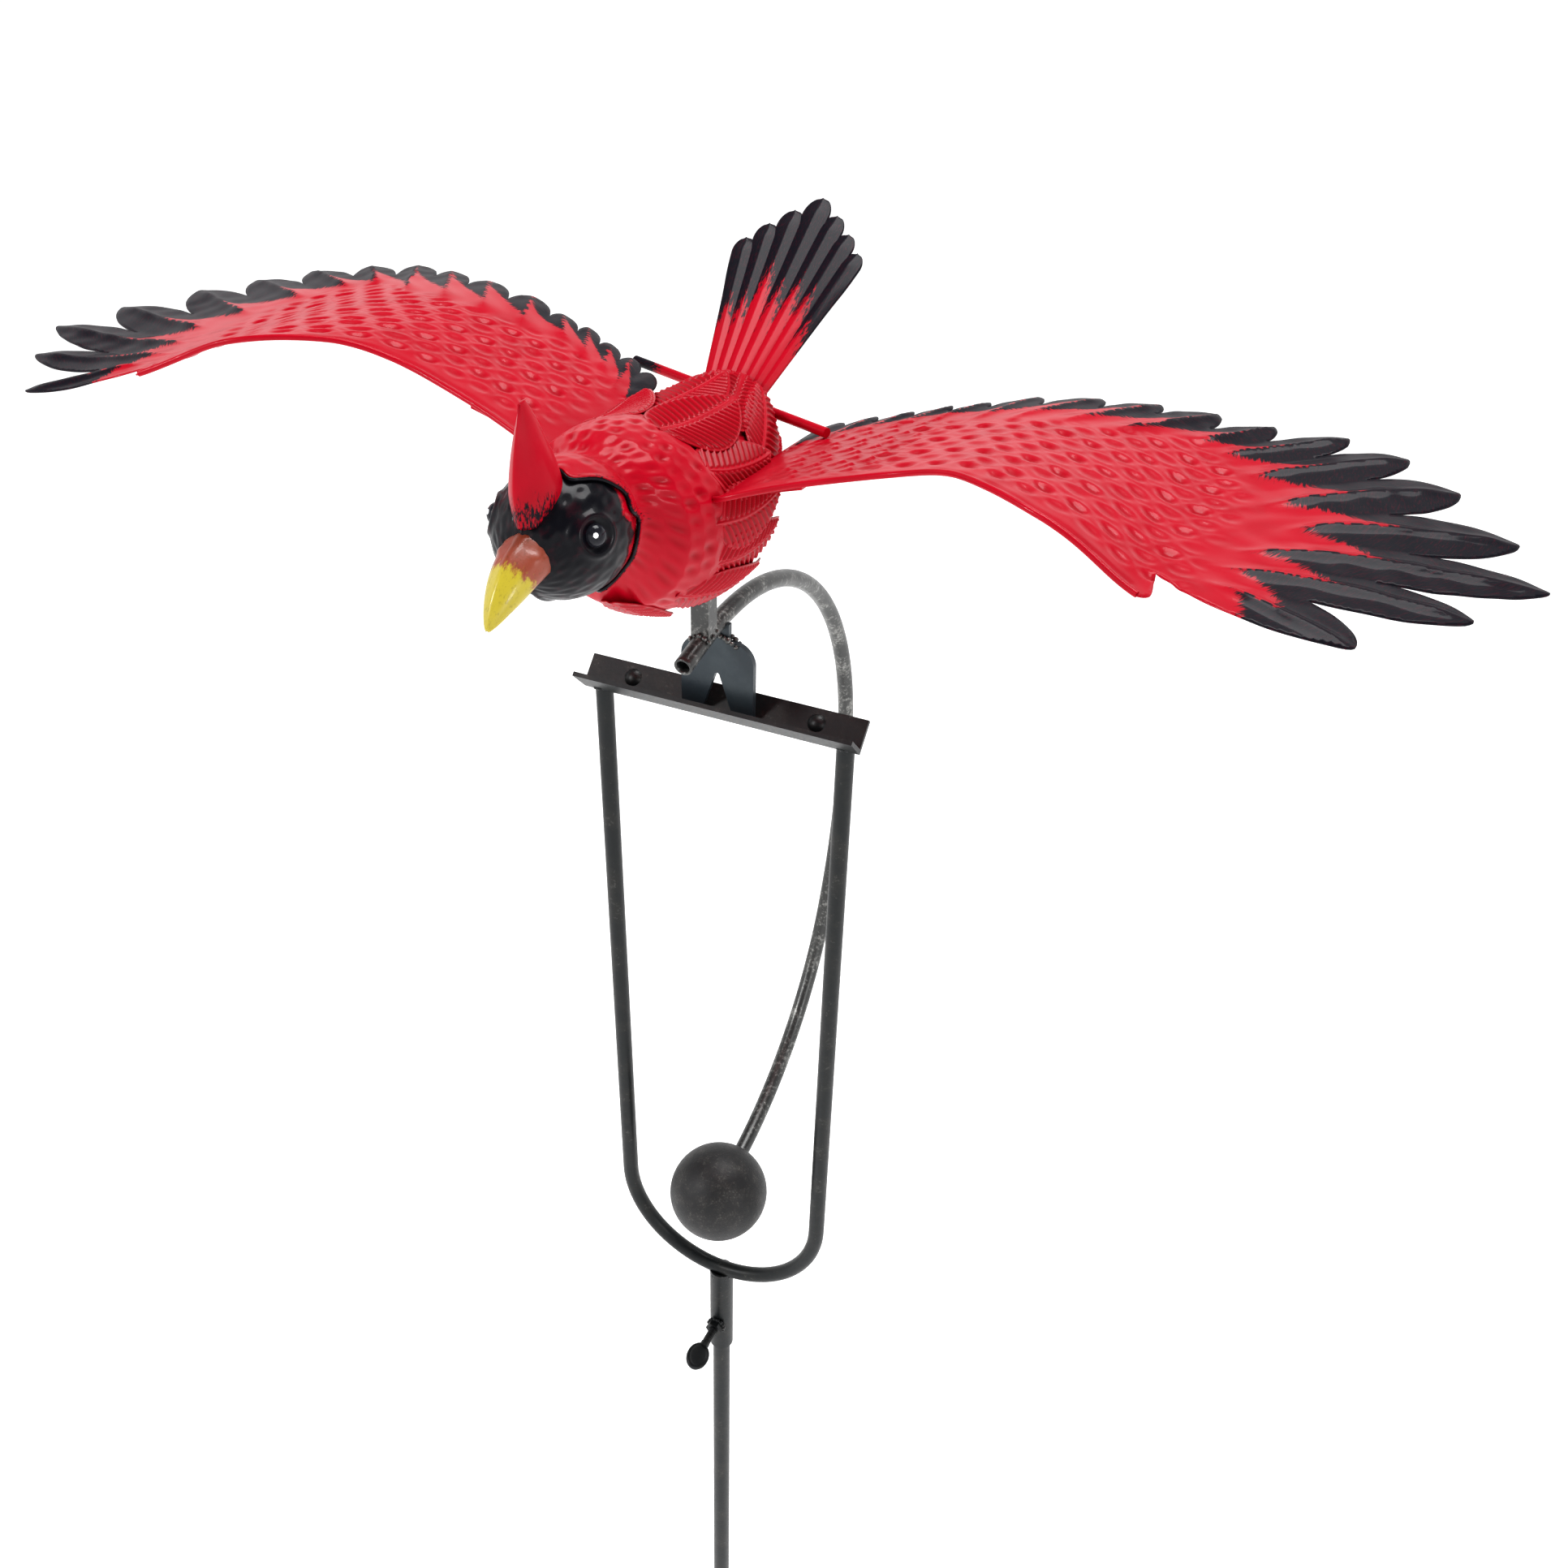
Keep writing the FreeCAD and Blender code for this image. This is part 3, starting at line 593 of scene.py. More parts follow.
@dataclass(frozen=True)
class BrushedEnamel:
    """Glossy enamel with a second colour dry-brushed over it where the mesh says so.

    The mesh value "black" says how much of the second colour there is, "grain" in which direction the
    brush went, and a third value how much the first colour is darkened as painted shade in hollows, dents,
    folds and along edges.
    """

    name: str
    base: Colour = colour(0.45, 0.0005, 0.016)
    # darker red, used for the random mottling and for the painted shade in hollows and folds
    deep: Colour = colour(0.26, 0.001, 0.006)
    brush: Colour = colour(0.004, 0.004, 0.009)
    tint: Colour = colour(0.075, 0.003, 0.014)
    tint_share: float = 0.5
    stroke: float = 1.1
    roughness: float = 0.38
    coat: float = 0.12
    coat_roughness: float = 0.09
    shine: float = 0.13

    def make(self) -> bpy.types.Material:
        """Build the material.

        Returns:
            The material.
        """
        material, nodes, shader = new_material(self.name)
        place = nodes.place()
        grain = nodes.attribute("grain", "Vector")
        strokes = nodes.noise(grain, self.stroke, 4.0)
        cut = nodes.sum("SUBTRACT", nodes.sum("MULTIPLY", nodes.attribute("black"), 1.5), nodes.span(strokes, 0.2, 0.8))
        black = nodes.span(cut, -0.12, 0.32)
        cloud = nodes.noise(place, 55.0, 2.0)
        # the base red is darkened by random mottling and by painted shade read from the mesh
        mottle_and_painted_shade = nodes.sum("MAXIMUM", nodes.sum("MULTIPLY", nodes.span(cloud, 0.4, 0.75), 0.25),
                          nodes.attribute("painted_shade"))
        ground = nodes.blend(mottle_and_painted_shade, self.base, self.deep)
        specks = nodes.span(nodes.noise(grain, self.stroke * 1.7, 5.0), 0.48, 0.72)
        paint = nodes.blend(nodes.sum("MULTIPLY", specks, self.tint_share), self.brush, self.tint)
        rough = nodes.sum("ADD", nodes.sum("MULTIPLY", black, 0.16), self.roughness)
        peel = nodes.noise(place, 900.0, 2.0)
        height = nodes.sum("ADD", nodes.sum("MULTIPLY", peel, 0.3), nodes.sum("MULTIPLY", strokes, black))
        nodes.give(shader, {
            "Base Color": nodes.blend(black, ground, paint), "Roughness": rough,
            "Normal": nodes.bump(height, 0.35, 0.00012), "Coat Weight": self.coat,
            "Coat Roughness": self.coat_roughness, "Specular IOR Level": self.shine})
        return material


@dataclass(frozen=True)
class BeakEnamel:
    """Satin enamel, terracotta at the root and yellow at the tip, met with a ragged brush line."""

    name: str
    root: Colour = colour(0.30, 0.065, 0.035)
    tip: Colour = colour(0.52, 0.42, 0.035)
    smudge: Colour = colour(0.09, 0.05, 0.015)
    roughness: float = 0.34
    coat: float = 0.25

    def make(self) -> bpy.types.Material:
        """Build the material.

        Returns:
            The material.
        """
        material, nodes, shader = new_material(self.name)
        place = nodes.place()
        stretched = nodes.add("ShaderNodeMapping", {"Vector": place, "Scale": (1.0, 0.35, 0.5)}).outputs[0]
        ragged = nodes.sum("MULTIPLY", nodes.sum("SUBTRACT", nodes.noise(stretched, 900.0, 4.0), 0.5), 0.34)
        share = nodes.span(nodes.sum("ADD", nodes.attribute("tipward"), ragged), 0.36, 0.46)
        body = nodes.blend(share, self.root, self.tip)
        dirt = nodes.sum("MULTIPLY", nodes.span(nodes.noise(stretched, 1400.0, 4.0), 0.52, 0.8), 0.55)
        nodes.give(shader, {
            "Base Color": nodes.blend(dirt, body, self.smudge), "Roughness": self.roughness,
            "Normal": nodes.bump(nodes.noise(place, 1500.0), 0.4, 0.0001), "Coat Weight": self.coat})
        return material


@dataclass(frozen=True)
class EyeEnamel:
    """Black gloss with a small white dot; the paint glows a little as painted light, most on the white dot."""

    name: str
    black: Colour = colour(0.004, 0.004, 0.006)
    worn: Colour = colour(0.02, 0.02, 0.026)
    white: Colour = colour(0.9, 0.9, 0.9)
    painted_light_glow: float = 0.5
    roughness: float = 0.16
    coat: float = 0.15
    shine: float = 0.2

    def make(self) -> bpy.types.Material:
        """Build the material.

        Returns:
            The material.
        """
        material, nodes, shader = new_material(self.name)
        dot = nodes.span(nodes.attribute("dot"), 0.45, 0.6)
        cloud = nodes.noise(nodes.place(), 700.0)
        tone = nodes.blend(dot, nodes.blend(cloud, self.black, self.worn), self.white)
        # the emission makes the eye's paint glow a little: painted light, brightest on the white dot
        nodes.give(shader, {
            "Base Color": tone, "Emission Color": tone, "Emission Strength": self.painted_light_glow,
            "Roughness": self.roughness, "Coat Weight": self.coat, "Specular IOR Level": self.shine})
        return material


@dataclass(frozen=True)
class WeatheredMetal:
    """Dark baked paint on steel, mottled and rubbed."""

    name: str
    base: Colour
    mottle: Colour
    rub: Colour
    mottle_share: float = 0.6
    rub_from: float = 0.56
    roughness: float = 0.42
    grain: float = 260.0
    pit_depth: float = 0.00008
    metallic: float = 0.25

    def make(self) -> bpy.types.Material:
        """Build the material.

        Returns:
            The material.
        """
        material, nodes, shader = new_material(self.name)
        place = nodes.place()
        cloud = nodes.noise(place, self.grain * 0.35, 5.0)
        fine = nodes.noise(place, self.grain * 2.4, 5.0)
        patches = nodes.sum("MULTIPLY", nodes.span(cloud, 0.42, 0.68), self.mottle_share)
        body = nodes.blend(patches, self.base, self.mottle)
        rubbed = nodes.span(nodes.sum("ADD", nodes.sum("MULTIPLY", fine, 0.6), nodes.sum("MULTIPLY", cloud, 0.4)),
                            self.rub_from, self.rub_from + 0.14)
        rough = nodes.sum("ADD", nodes.sum("MULTIPLY", fine, 0.25), self.roughness - 0.12)
        nodes.give(shader, {
            "Base Color": nodes.blend(rubbed, body, self.rub), "Roughness": rough,
            "Normal": nodes.bump(fine, 0.6, self.pit_depth), "Metallic": self.metallic})
        return material


@dataclass
class Paints:
    """Every finish on the object."""

    red: bpy.types.Material = field(init=False)
    mask: bpy.types.Material = field(init=False)
    beak: bpy.types.Material = field(init=False)
    eye: bpy.types.Material = field(init=False)
    stand: bpy.types.Material = field(init=False)
    steel: bpy.types.Material = field(init=False)
    plate: bpy.types.Material = field(init=False)
    ball: bpy.types.Material = field(init=False)

    def __post_init__(self) -> None:
        """Mix the paints."""
        dark = colour(0.007, 0.009, 0.010)
        bronze = colour(0.020, 0.019, 0.017)
        self.red = BrushedEnamel("Crimson enamel").make()
        self.mask = BrushedEnamel("Mask enamel", stroke=0.16, tint_share=0.25, roughness=0.24,
                                  brush=colour(0.003, 0.003, 0.006), coat=0.2).make()
        self.beak = BeakEnamel("Beak enamel").make()
        self.eye = EyeEnamel("Eye enamel").make()
        self.stand = WeatheredMetal("Stand paint", dark, bronze, colour(0.055, 0.055, 0.052)).make()
        self.steel = WeatheredMetal("Rubbed arm paint", colour(0.075, 0.076, 0.075), colour(0.12, 0.12, 0.115),
                                    colour(0.26, 0.26, 0.25), rub_from=0.50, roughness=0.34, metallic=0.7,
                                    pit_depth=0.00004).make()
        self.plate = WeatheredMetal("Plate paint", colour(0.034, 0.045, 0.054), colour(0.052, 0.066, 0.074),
                                    colour(0.10, 0.115, 0.12), grain=180.0, rub_from=0.62, roughness=0.36).make()
        self.ball = WeatheredMetal("Cast ball paint", colour(0.016, 0.016, 0.017), colour(0.034, 0.031, 0.029),
                                   colour(0.075, 0.073, 0.068), grain=420.0, rub_from=0.53, roughness=0.5,
                                   pit_depth=0.0003, metallic=0.15).make()


# ---------------------------------------------------------------- the body's surface

@dataclass(frozen=True)
class BodyForm:
    """The bird's pressed body as oval rings along Y: station, centre height, half width, half height."""

    stations: tuple = (
        (-112.0, 133.0, 21.0, 21.0),
        (-98.0, 129.0, 28.5, 29.0),
        (-80.0, 123.0, 34.5, 34.5),
        (-58.0, 118.0, 37.5, 35.5),
        (-34.0, 118.0, 36.5, 33.0),
        (-12.0, 123.0, 30.0, 26.0),
        (4.0, 131.0, 20.5, 17.0),
        (15.0, 138.0, 9.0, 7.0),
    )

    def radius(self, y: Array) -> Array:
        """Mean radius of the ring at y."""
        return (smooth_read(self.stations, y, 2) + smooth_read(self.stations, y, 3)) / 2

    def point(self, y: Array, turn: Array, lift: Array | float = 0.0) -> Array:
        """Points on the body.

        Args:
            y: Station.
            turn: Angle from the top towards +X, in radians.
            lift: Height off the surface.

        Returns:
            Points in the arrays' own shape, with three coordinates last.
        """
        wide = smooth_read(self.stations, y, 2) + lift
        tall = smooth_read(self.stations, y, 3) + lift
        height = smooth_read(self.stations, y, 1)
        return stacked(wide * np.sin(turn), y, height + tall * np.cos(turn))


BODY = BodyForm()


@dataclass(frozen=True)
class Leaf:
    """One pressed leaf feather that lies on the body, from its root to its pointed tip."""

    root: tuple[float, float]
    tip: tuple[float, float]
    half_width: float
    lift: float = 1.0
    raised_tip: float = 2.4

    RIB_PITCH = 3.4
    RIB_LEAN = 0.6
    RIB_HEIGHT = 1.0
    MARGIN = 1.5
    STEP = 0.42

    def mesh(self, name: str) -> bpy.types.Object:
        """Build the leaf.

        Args:
            name: Its name.

        Returns:
            The embossed sheet, without thickness.
        """
        (y0, turn0), (y1, turn1) = self.root, self.tip
        middle = float(BODY.radius((y0 + y1) / 2))
        arc = math.radians(turn1 - turn0) * middle
        length = math.hypot(y1 - y0, arc)
        heading_y, heading_arc = (y1 - y0) / length, arc / length
        rows = int(length / self.STEP)
        columns = 2 * int(self.half_width / self.STEP) + 1
        along = np.linspace(0.0, 1.0, rows)[:, None]
        across = np.linspace(-1.0, 1.0, columns)[None, :]
        half = self.half_width * np.sin(np.pi * along ** 0.72) ** 0.85
        half = np.maximum(half, 0.05)
        side = across * half
        y = y0 + heading_y * along * length - heading_arc * side
        girth = np.maximum(BODY.radius(np.clip(y, -112, 15)), 13.0)
        turn = math.radians(turn0) + math.radians(turn1 - turn0) * along + heading_y * side / girth
        ribs = 0.5 + 0.5 * np.cos(2 * np.pi * (along * length - self.RIB_LEAN * np.abs(side)) / self.RIB_PITCH)
        inside = ease(half - np.abs(side), 0.3, self.MARGIN) * ease(np.abs(side), 0.7, 1.5)
        rib = ribs ** 2.2 * inside * ease(along, 0.02, 0.1)
        midrib = bell(side, 0.75) * ease(1 - along, 0.0, 0.12)
        relief = self.lift + self.raised_tip * along ** 2 + self.RIB_HEIGHT * rib + 0.7 * midrib
        # painted shade: darker red in the valleys between the ribs, and along the leaf's edge
        painted_shade = (1.0 - np.maximum(rib, midrib)) * inside * 0.8
        edge = 1.0 - ease(half - np.abs(side), 0.0, 0.7)
        values = {"painted_shade": np.maximum(painted_shade, edge * 0.5),
                  "grain": stacked(along * length, side * 0.4, middle)}
        leaf = make_sheet(name, BODY.point(y, turn, relief), values)
        weld(leaf)
        face_off_axis(leaf)
        return leaf


@dataclass
class Plumage:
    """The leaf feathers, each row cut from thin sheet and lapped over the one behind."""

    shop: Workshop
    paints: Paints
    thickness: float = 0.5
    back: tuple[Leaf, ...] = (
        Leaf((-76, -20), (-18, -40), 14.5, 1.6, 3.0),
        Leaf((-74, 18), (-19, 24), 15.0, 1.9, 2.2),
        Leaf((-56, -6), (2, 2), 14.0, 0.9, 2.6),
    )
    rump: tuple[Leaf, ...] = (
        Leaf((-38, -62), (13, -40), 11.5, 0.2, 1.8),
        Leaf((-36, -24), (15, -10), 11.0, 0.4, 1.8),
        Leaf((-38, 30), (15, 14), 12.0, 0.2, 1.8),
        Leaf((-38, 62), (13, 40), 11.5, 0.4, 1.8),
    )
    flank: tuple[Leaf, ...] = (
        Leaf((-76, 50), (-26, 62), 13.0, 1.2, 1.2),
        Leaf((-80, 82), (-30, 80), 12.5, 1.5, 2.6),
        Leaf((-80, 108), (-28, 104), 12.5, 1.0, 2.6),
        Leaf((-44, 92), (4, 88), 11.0, -0.2, 1.4),
    )
    belly: tuple[Leaf, ...] = (
        Leaf((-88, 134), (-34, 128), 12.5, 1.9, 3.2),
        Leaf((-88, -134), (-34, -128), 12.5, 1.9, 3.2),
        Leaf((-64, 180), (-20, 180), 12.0, 1.0, 2.0),
        Leaf((-100, 172), (-62, 168), 10.5, 2.2, 3.0),
    )

    def row(self, name: str, leaves: list[Leaf], node: str) -> None:
        """Make one row of leaves as one piece that stands for a CAD node."""
        piece = join(name, [leaf.mesh(f"{name}_{k}") for k, leaf in enumerate(leaves)])
        thicken(piece, self.thickness)
        self.shop.fit(piece, "bird", Slot.RED, self.paints.red, (node,))

    def build(self) -> None:
        """Make every row."""
        self.row("back_leaves", list(self.back), "back_feathers")
        self.row("rump_leaves", list(self.rump), "rump_feathers")
        self.row("belly_leaves", list(self.belly), "belly_feathers")
        for side in Side:
            mirrored = [Leaf((leaf.root[0], side.value * leaf.root[1]), (leaf.tip[0], side.value * leaf.tip[1]),
                             leaf.half_width, leaf.lift, leaf.raised_tip) for leaf in self.flank]
            word = side.name.lower()
            self.row(f"flank_leaves_{word}", mirrored, f"side_feathers_{word}")


@dataclass
class Collar:
    """The hammered neck and breast sheet, with a wavy front lip and a pointed back edge."""

    shop: Workshop
    paints: Paints
    rods: RodTree
    rows: int = 110
    columns: int = 300
    front: float = -110.0
    back: float = -66.0
    brow: float = 21.0
    chin: float = 11.0
    head_centre: tuple[float, float] = (-121.5, 136.5)
    head_radii: tuple[float, float] = (23.5, 27.0)
    dents_round: int = 34
    ring_pitch: float = 6.5
    thickness: float = 0.5

    def point(self, y: Array, turn: Array, lift: Array | float) -> Array:
        """Points on the collar, which leaves the head's surface and swells onto the body.

        Args:
            y: Station.
            turn: Angle from the top towards +X, in radians.
            lift: Height off the surface.

        Returns:
            Points in the arrays' own shape, with three coordinates last.
        """
        y, turn, lift = np.broadcast_arrays(y, turn, lift)
        on_body = BODY.point(np.maximum(y, BODY.stations[0][0]), turn, lift)
        share = np.clip((np.minimum(y, -107.0) - self.head_centre[0]) / self.head_radii[1], -0.95, 0.95)
        radius = self.head_radii[0] * np.sqrt(1 - share ** 2) + 0.5 * lift
        on_head = stacked(radius * np.sin(turn), y, self.head_centre[1] + radius * np.cos(turn))
        share = ease(y, -107.5, -92.0)[..., None]
        points = on_head * (1 - share) + on_body * share
        points[..., 1] = y
        return points

    def front_edge(self, turn: Array) -> Array:
        """Station of the wavy front edge at an angle from the top."""
        wave = 1.8 * np.sin(9.0 * turn + 0.6) + 1.0 * np.sin(14.0 * turn)
        below = np.abs(np.abs(turn) - np.pi)
        return self.front + wave - self.brow * bell(turn, 0.75) - self.chin * bell(below, 0.9)

    def back_edge(self, turn: Array) -> Array:
        """Station of the back edge at an angle from the top."""
        lobes = np.abs(np.sin(2.5 * turn + 0.4)) * 8.0
        return self.back - lobes + 7.0 * bell(turn, 0.9)

    def build(self) -> None:
        """Make the sheet and its lip."""
        turn = np.linspace(-np.pi, np.pi, self.columns, endpoint=False)[None, :]
        share = np.linspace(0.0, 1.0, self.rows)[:, None]
        start, stop = self.front_edge(turn), self.back_edge(turn)
        y = start + (stop - start) * share
        lift = 2.2 + 1.6 * (1 - ease(y - start, 0.0, 5.0)) - 0.9 * ease(share, 0.85, 1.0)
        spacing = 2 * np.pi / self.dents_round
        from_head = y - BODY.stations[0][0]
        ring = np.floor(from_head / self.ring_pitch)
        shifted = turn / spacing + 0.5 * (ring % 2)
        across = (shifted - np.round(shifted)) * spacing * BODY.radius(y)
        along = from_head - (ring + 0.5) * self.ring_pitch
        drop = np.exp(-(across / 1.7) ** 2 - (along / 2.6) ** 2)
        dent = drop * ease(share, 0.08, 0.2) * (1 - ease(share, 0.8, 0.95))
        uneven = 0.75 + 0.4 * np.sin(2.3 * ring + 1.9 * np.round(shifted))
        points = self.point(y, turn, lift - 0.9 * uneven * dent)
        near_lip = 1 - ease(y - start, 0.5, 11.0)
        on_side = ease(np.abs(turn), 0.3, 0.9) * 0.4 + 0.35
        # painted shade darkens the hammered dents; "black" is the brushed black near the lip
        values = {"painted_shade": dent * uneven * 0.5, "black": near_lip * on_side * 0.42,
                  "grain": stacked(y * 0.35, turn * 30.0, 0.0)}
        sheet = make_sheet("neck_collar_sheet", points, values, True)
        face_off_axis(sheet)
        thicken(sheet, self.thickness)
        self.shop.fit(sheet, "bird", Slot.RED, self.paints.red, ("neck_collar",))
        circle = np.linspace(-np.pi, np.pi, 241)
        path = self.point(self.front_edge(circle), circle, 1.7)
        lip = self.rods.rod("neck_collar_lip", path, 0.75, self.paints.mask, 8, 0.8)
        store(lip.data, {"black": 0.72}, (len(lip.data.vertices), 3))
        self.shop.fit(lip, "bird", Slot.MASK, self.paints.mask)


# ---------------------------------------------------------------- head, beak and crest

@dataclass
class Head:
    """Two hammered half shells with a raised seam, the eyes, the beak and the crest."""

    shop: Workshop
    paints: Paints
    rods: RodTree
    centre: tuple[float, float, float] = (0.0, -121.5, 136.5)
    radii: tuple[float, float, float] = (23.5, 27.0, 23.5)
    eye_at: tuple[float, float, float] = (18.6, -133.0, 142.6)
    eye_radius: float = 4.0
    beak_root: tuple[float, float] = (-142.0, 136.0)
    beak_tip: tuple[float, float] = (-171.5, 121.5)
    ring_turn: float = 0.23
    dot_way: tuple[float, float, float] = (0.54, -0.74, 0.40)

    def surface(self, tilt: Array, roll: Array, lift: Array | float = 0.0) -> Array:
        """Points on the head.

        Args:
            tilt: Angle from the front pole, in radians.
            roll: Angle from the top towards +X, in radians.
            lift: Height off the surface.

        Returns:
            Points in the arrays' own shape, with three coordinates last.
        """
        unit = stacked(np.sin(tilt) * np.sin(roll), -np.cos(tilt), np.sin(tilt) * np.cos(roll))
        return np.array(self.centre) + unit * (self.radii + np.expand_dims(lift, -1))

    def shell(self, side: Side) -> None:
        """Make one half of the skull."""
        tilt = np.linspace(0.0, math.radians(142), 110)[:, None]
        roll = np.linspace(0.0, np.pi, 120)[None, :]
        ring = np.floor(tilt / self.ring_turn)
        shifted = roll * (1.4 + 3.0 * np.sin(np.clip(tilt, 0.2, 1.8))) + 0.5 * (ring % 2)
        across = (shifted - np.round(shifted)) * 5.0
        along = (tilt / self.ring_turn - ring - 0.5) * 5.6
        dents = np.exp(-(across / 1.7) ** 2 - (along / 2.0) ** 2)
        seam = bell(roll * 23.0 * np.sin(tilt), 1.0) + bell((np.pi - roll) * 23.0 * np.sin(tilt), 1.0)
        away = np.linalg.norm(self.surface(tilt, roll) - self.eye_at, axis=-1)
        socket = bell(away - 6.6, 1.3) * 0.9 - 0.8 * (1 - ease(away, 3.8, 6.0))
        lift = -0.3 * dents * (1 - np.clip(seam, 0, 1)) * ease(away, 7.0, 11.0) + 0.8 * seam + socket
        points = self.surface(tilt, roll, lift)
        points[..., 0] = np.maximum(points[..., 0], 0.1)
        back = points[..., 1] - self.centre[1]
        low = self.centre[2] - points[..., 2]
        black = 1.25 - 1.15 * ease(back + 0.25 * np.abs(low) - 6.0 * ease(-low, 6.0, 20.0), -5.0, 11.0)
        # painted shade darkens the hammered dents a little
        values = {"black": black, "painted_shade": dents * 0.2,
                  "grain": stacked(points[..., 1] * 0.5, points[..., 0], points[..., 2])}
        points[..., 0] *= side.value
        word = side.name.lower()
        half = make_sheet(f"head_half_{word}", points, values)
        weld(half)
        middle = Vector(to_frame(np.array(self.centre)))
        face_towards(half, lambda at, normal: normal.dot(at - middle))
        thicken(half, 0.6)
        self.shop.fit(half, "bird", Slot.MASK, self.paints.mask, (f"head_shell_{word}",))

    def eyes(self) -> None:
        """Make the two domes, each with a raised ring round it and a white dot."""
        domes = []
        radius = self.eye_radius
        tilt = np.linspace(0.0, 1.75, 26)[:, None]
        roll = np.linspace(0.0, 2 * np.pi, 40, endpoint=False)[None, :]
        local = stacked(radius * np.sin(tilt) * np.cos(roll), radius * np.sin(tilt) * np.sin(roll),
                        radius * 0.85 * np.cos(tilt))
        for side in Side:
            centre = np.array(self.eye_at) * (side.value, 1.0, 1.0)
            out = centre - np.array(self.centre)
            out = Vector(out / np.array(self.radii)).normalized()
            turn = out.to_track_quat("Z", "Y").to_matrix()
            points = local @ np.array(turn).T + centre
            look = Vector(self.dot_way * np.array((side.value, 1.0, 1.0))).normalized()
            away = points - centre
            facing = (away / np.linalg.norm(away, axis=-1, keepdims=True)) @ np.array(look)
            dome = make_sheet(f"eye_{side.name.lower()}", points, {"dot": ease(facing, 0.962, 0.972)}, True)
            weld(dome)
            domes.append(dome)
        eyes = join("eye_domes", domes)
        self.shop.fit(eyes, "bird", Slot.EYE, self.paints.eye, ("eyes",))

    def beak_half(self, upper: bool) -> None:
        """Make one half of the beak: a sheet folded along its ridge and drawn to the tip."""
        share = np.linspace(0.0, 1.0, 60)[:, None]
        roll = np.linspace(-1.0, 1.0, 41)[None, :] * math.radians(100 if upper else 88)
        root, tip = np.array(self.beak_root), np.array(self.beak_tip)
        line = root + (tip - root) * share
        bow = np.sin(np.pi * share) * (2.2 if upper else 0.6)
        axis = (tip - root) / np.linalg.norm(tip - root)
        normal = np.array([axis[1], -axis[0]]) * (1.0 if axis[0] < 0 else -1.0)
        wide = (9.0 if upper else 7.2) * (1 - share ** 1.6) ** 0.75 + 0.5
        tall = (8.6 if upper else 5.4) * (1 - share ** 1.7) ** 0.8 + 0.5
        if not upper:
            line = root + (tip - root) * share * 0.9
        ridge = 1.0 + 0.12 * bell(roll, 0.30)
        x = wide * np.sin(roll)
        up = tall * np.cos(roll) * ridge * (1.0 if upper else -1.0)
        up = up + bow - (0.4 if upper else 1.0)
        flare = (1 - ease(share, 0.0, 0.16)) * 0.9
        x = x * (1 + 0.06 * flare)
        up = up + flare * np.cos(roll) * (0.6 if upper else -0.6)
        if upper:
            bulge = np.exp(-((share - 0.17) / 0.06) ** 2 - ((np.abs(roll) - 0.85) / 0.28) ** 2)
            x = x * (1 + 0.13 * bulge)
        y = line[:, :1] + normal[0] * up
        z = line[:, 1:] + normal[1] * up
        piece = make_sheet("beak_upper_sheet" if upper else "beak_lower_sheet", stacked(x, y, z), {"tipward": share})
        core = to_frame(np.array([[0.0, *(root * 0.5 + tip * 0.5)]]))[0]
        face_towards(piece, lambda at, way: way.dot(at - Vector((0.0, at.y, core[2] + (at.y - core[1]) * 0.5))))
        thicken(piece, 0.5)
        self.shop.fit(piece, "bird", Slot.BEAK, self.paints.beak, ("upper_beak" if upper else "lower_beak",))

    def crest(self) -> None:
        """Make the horn: a sheet folded sharp at the front and drawn to a point."""
        keys = ((147.0, -148.5, -122.0, 6.6), (156.0, -149.6, -124.5, 7.6), (165.0, -149.0, -127.5, 6.4),
                (175.0, -147.0, -132.5, 4.2), (183.0, -144.6, -137.0, 2.1), (188.0, -143.2, -140.4, 0.45))
        rows, columns = 56, 48
        z = np.linspace(keys[0][0], keys[-1][0], rows)[:, None]
        front, rear, half = (smooth_read(keys, z, c) for c in (1, 2, 3))
        roll = np.linspace(0.0, 2 * np.pi, columns, endpoint=False)[None, :]
        swell = np.abs(np.sin(roll)) ** 1.25 * np.sign(np.sin(roll))
        crease = bell(np.abs(roll - np.pi) - np.pi, 0.35)
        x = half * swell
        y = (front + rear) / 2 - (rear - front) / 2 * np.cos(roll) - 0.9 * crease * ease(z, 150, 160)
        fold = bell(x / np.maximum(half, 0.3) - 0.25, 0.12) * (np.cos(roll) < 0)
        y = y - 1.4 * fold * (1 - ease(z, 165, 182))
        points = stacked(x, y, z)
        black = (1 - ease(z, 151.0, 164.0)) * 0.46 * (0.35 + 0.65 * (np.cos(roll) > 0.0))
        values = {"black": black, "grain": points * (1.0, 1.0, 0.3)}
        faces = grid_faces(rows, columns, True)
        faces.append(tuple(range((rows - 1) * columns, rows * columns)))
        horn = make_mesh("crest_horn", points, faces, values)
        weld(horn)
        face_towards(horn, lambda at, normal: normal.dot(at - Vector((0.0, -0.136, at.z))))
        thicken(horn, 0.6)
        self.shop.fit(horn, "bird", Slot.RED, self.paints.red, ("crest",))

    def build(self) -> None:
        """Make every piece of the head."""
        for side in Side:
            self.shell(side)
        self.eyes()
        self.beak_half(True)
        self.beak_half(False)
        self.crest()


# ---------------------------------------------------------------- tail

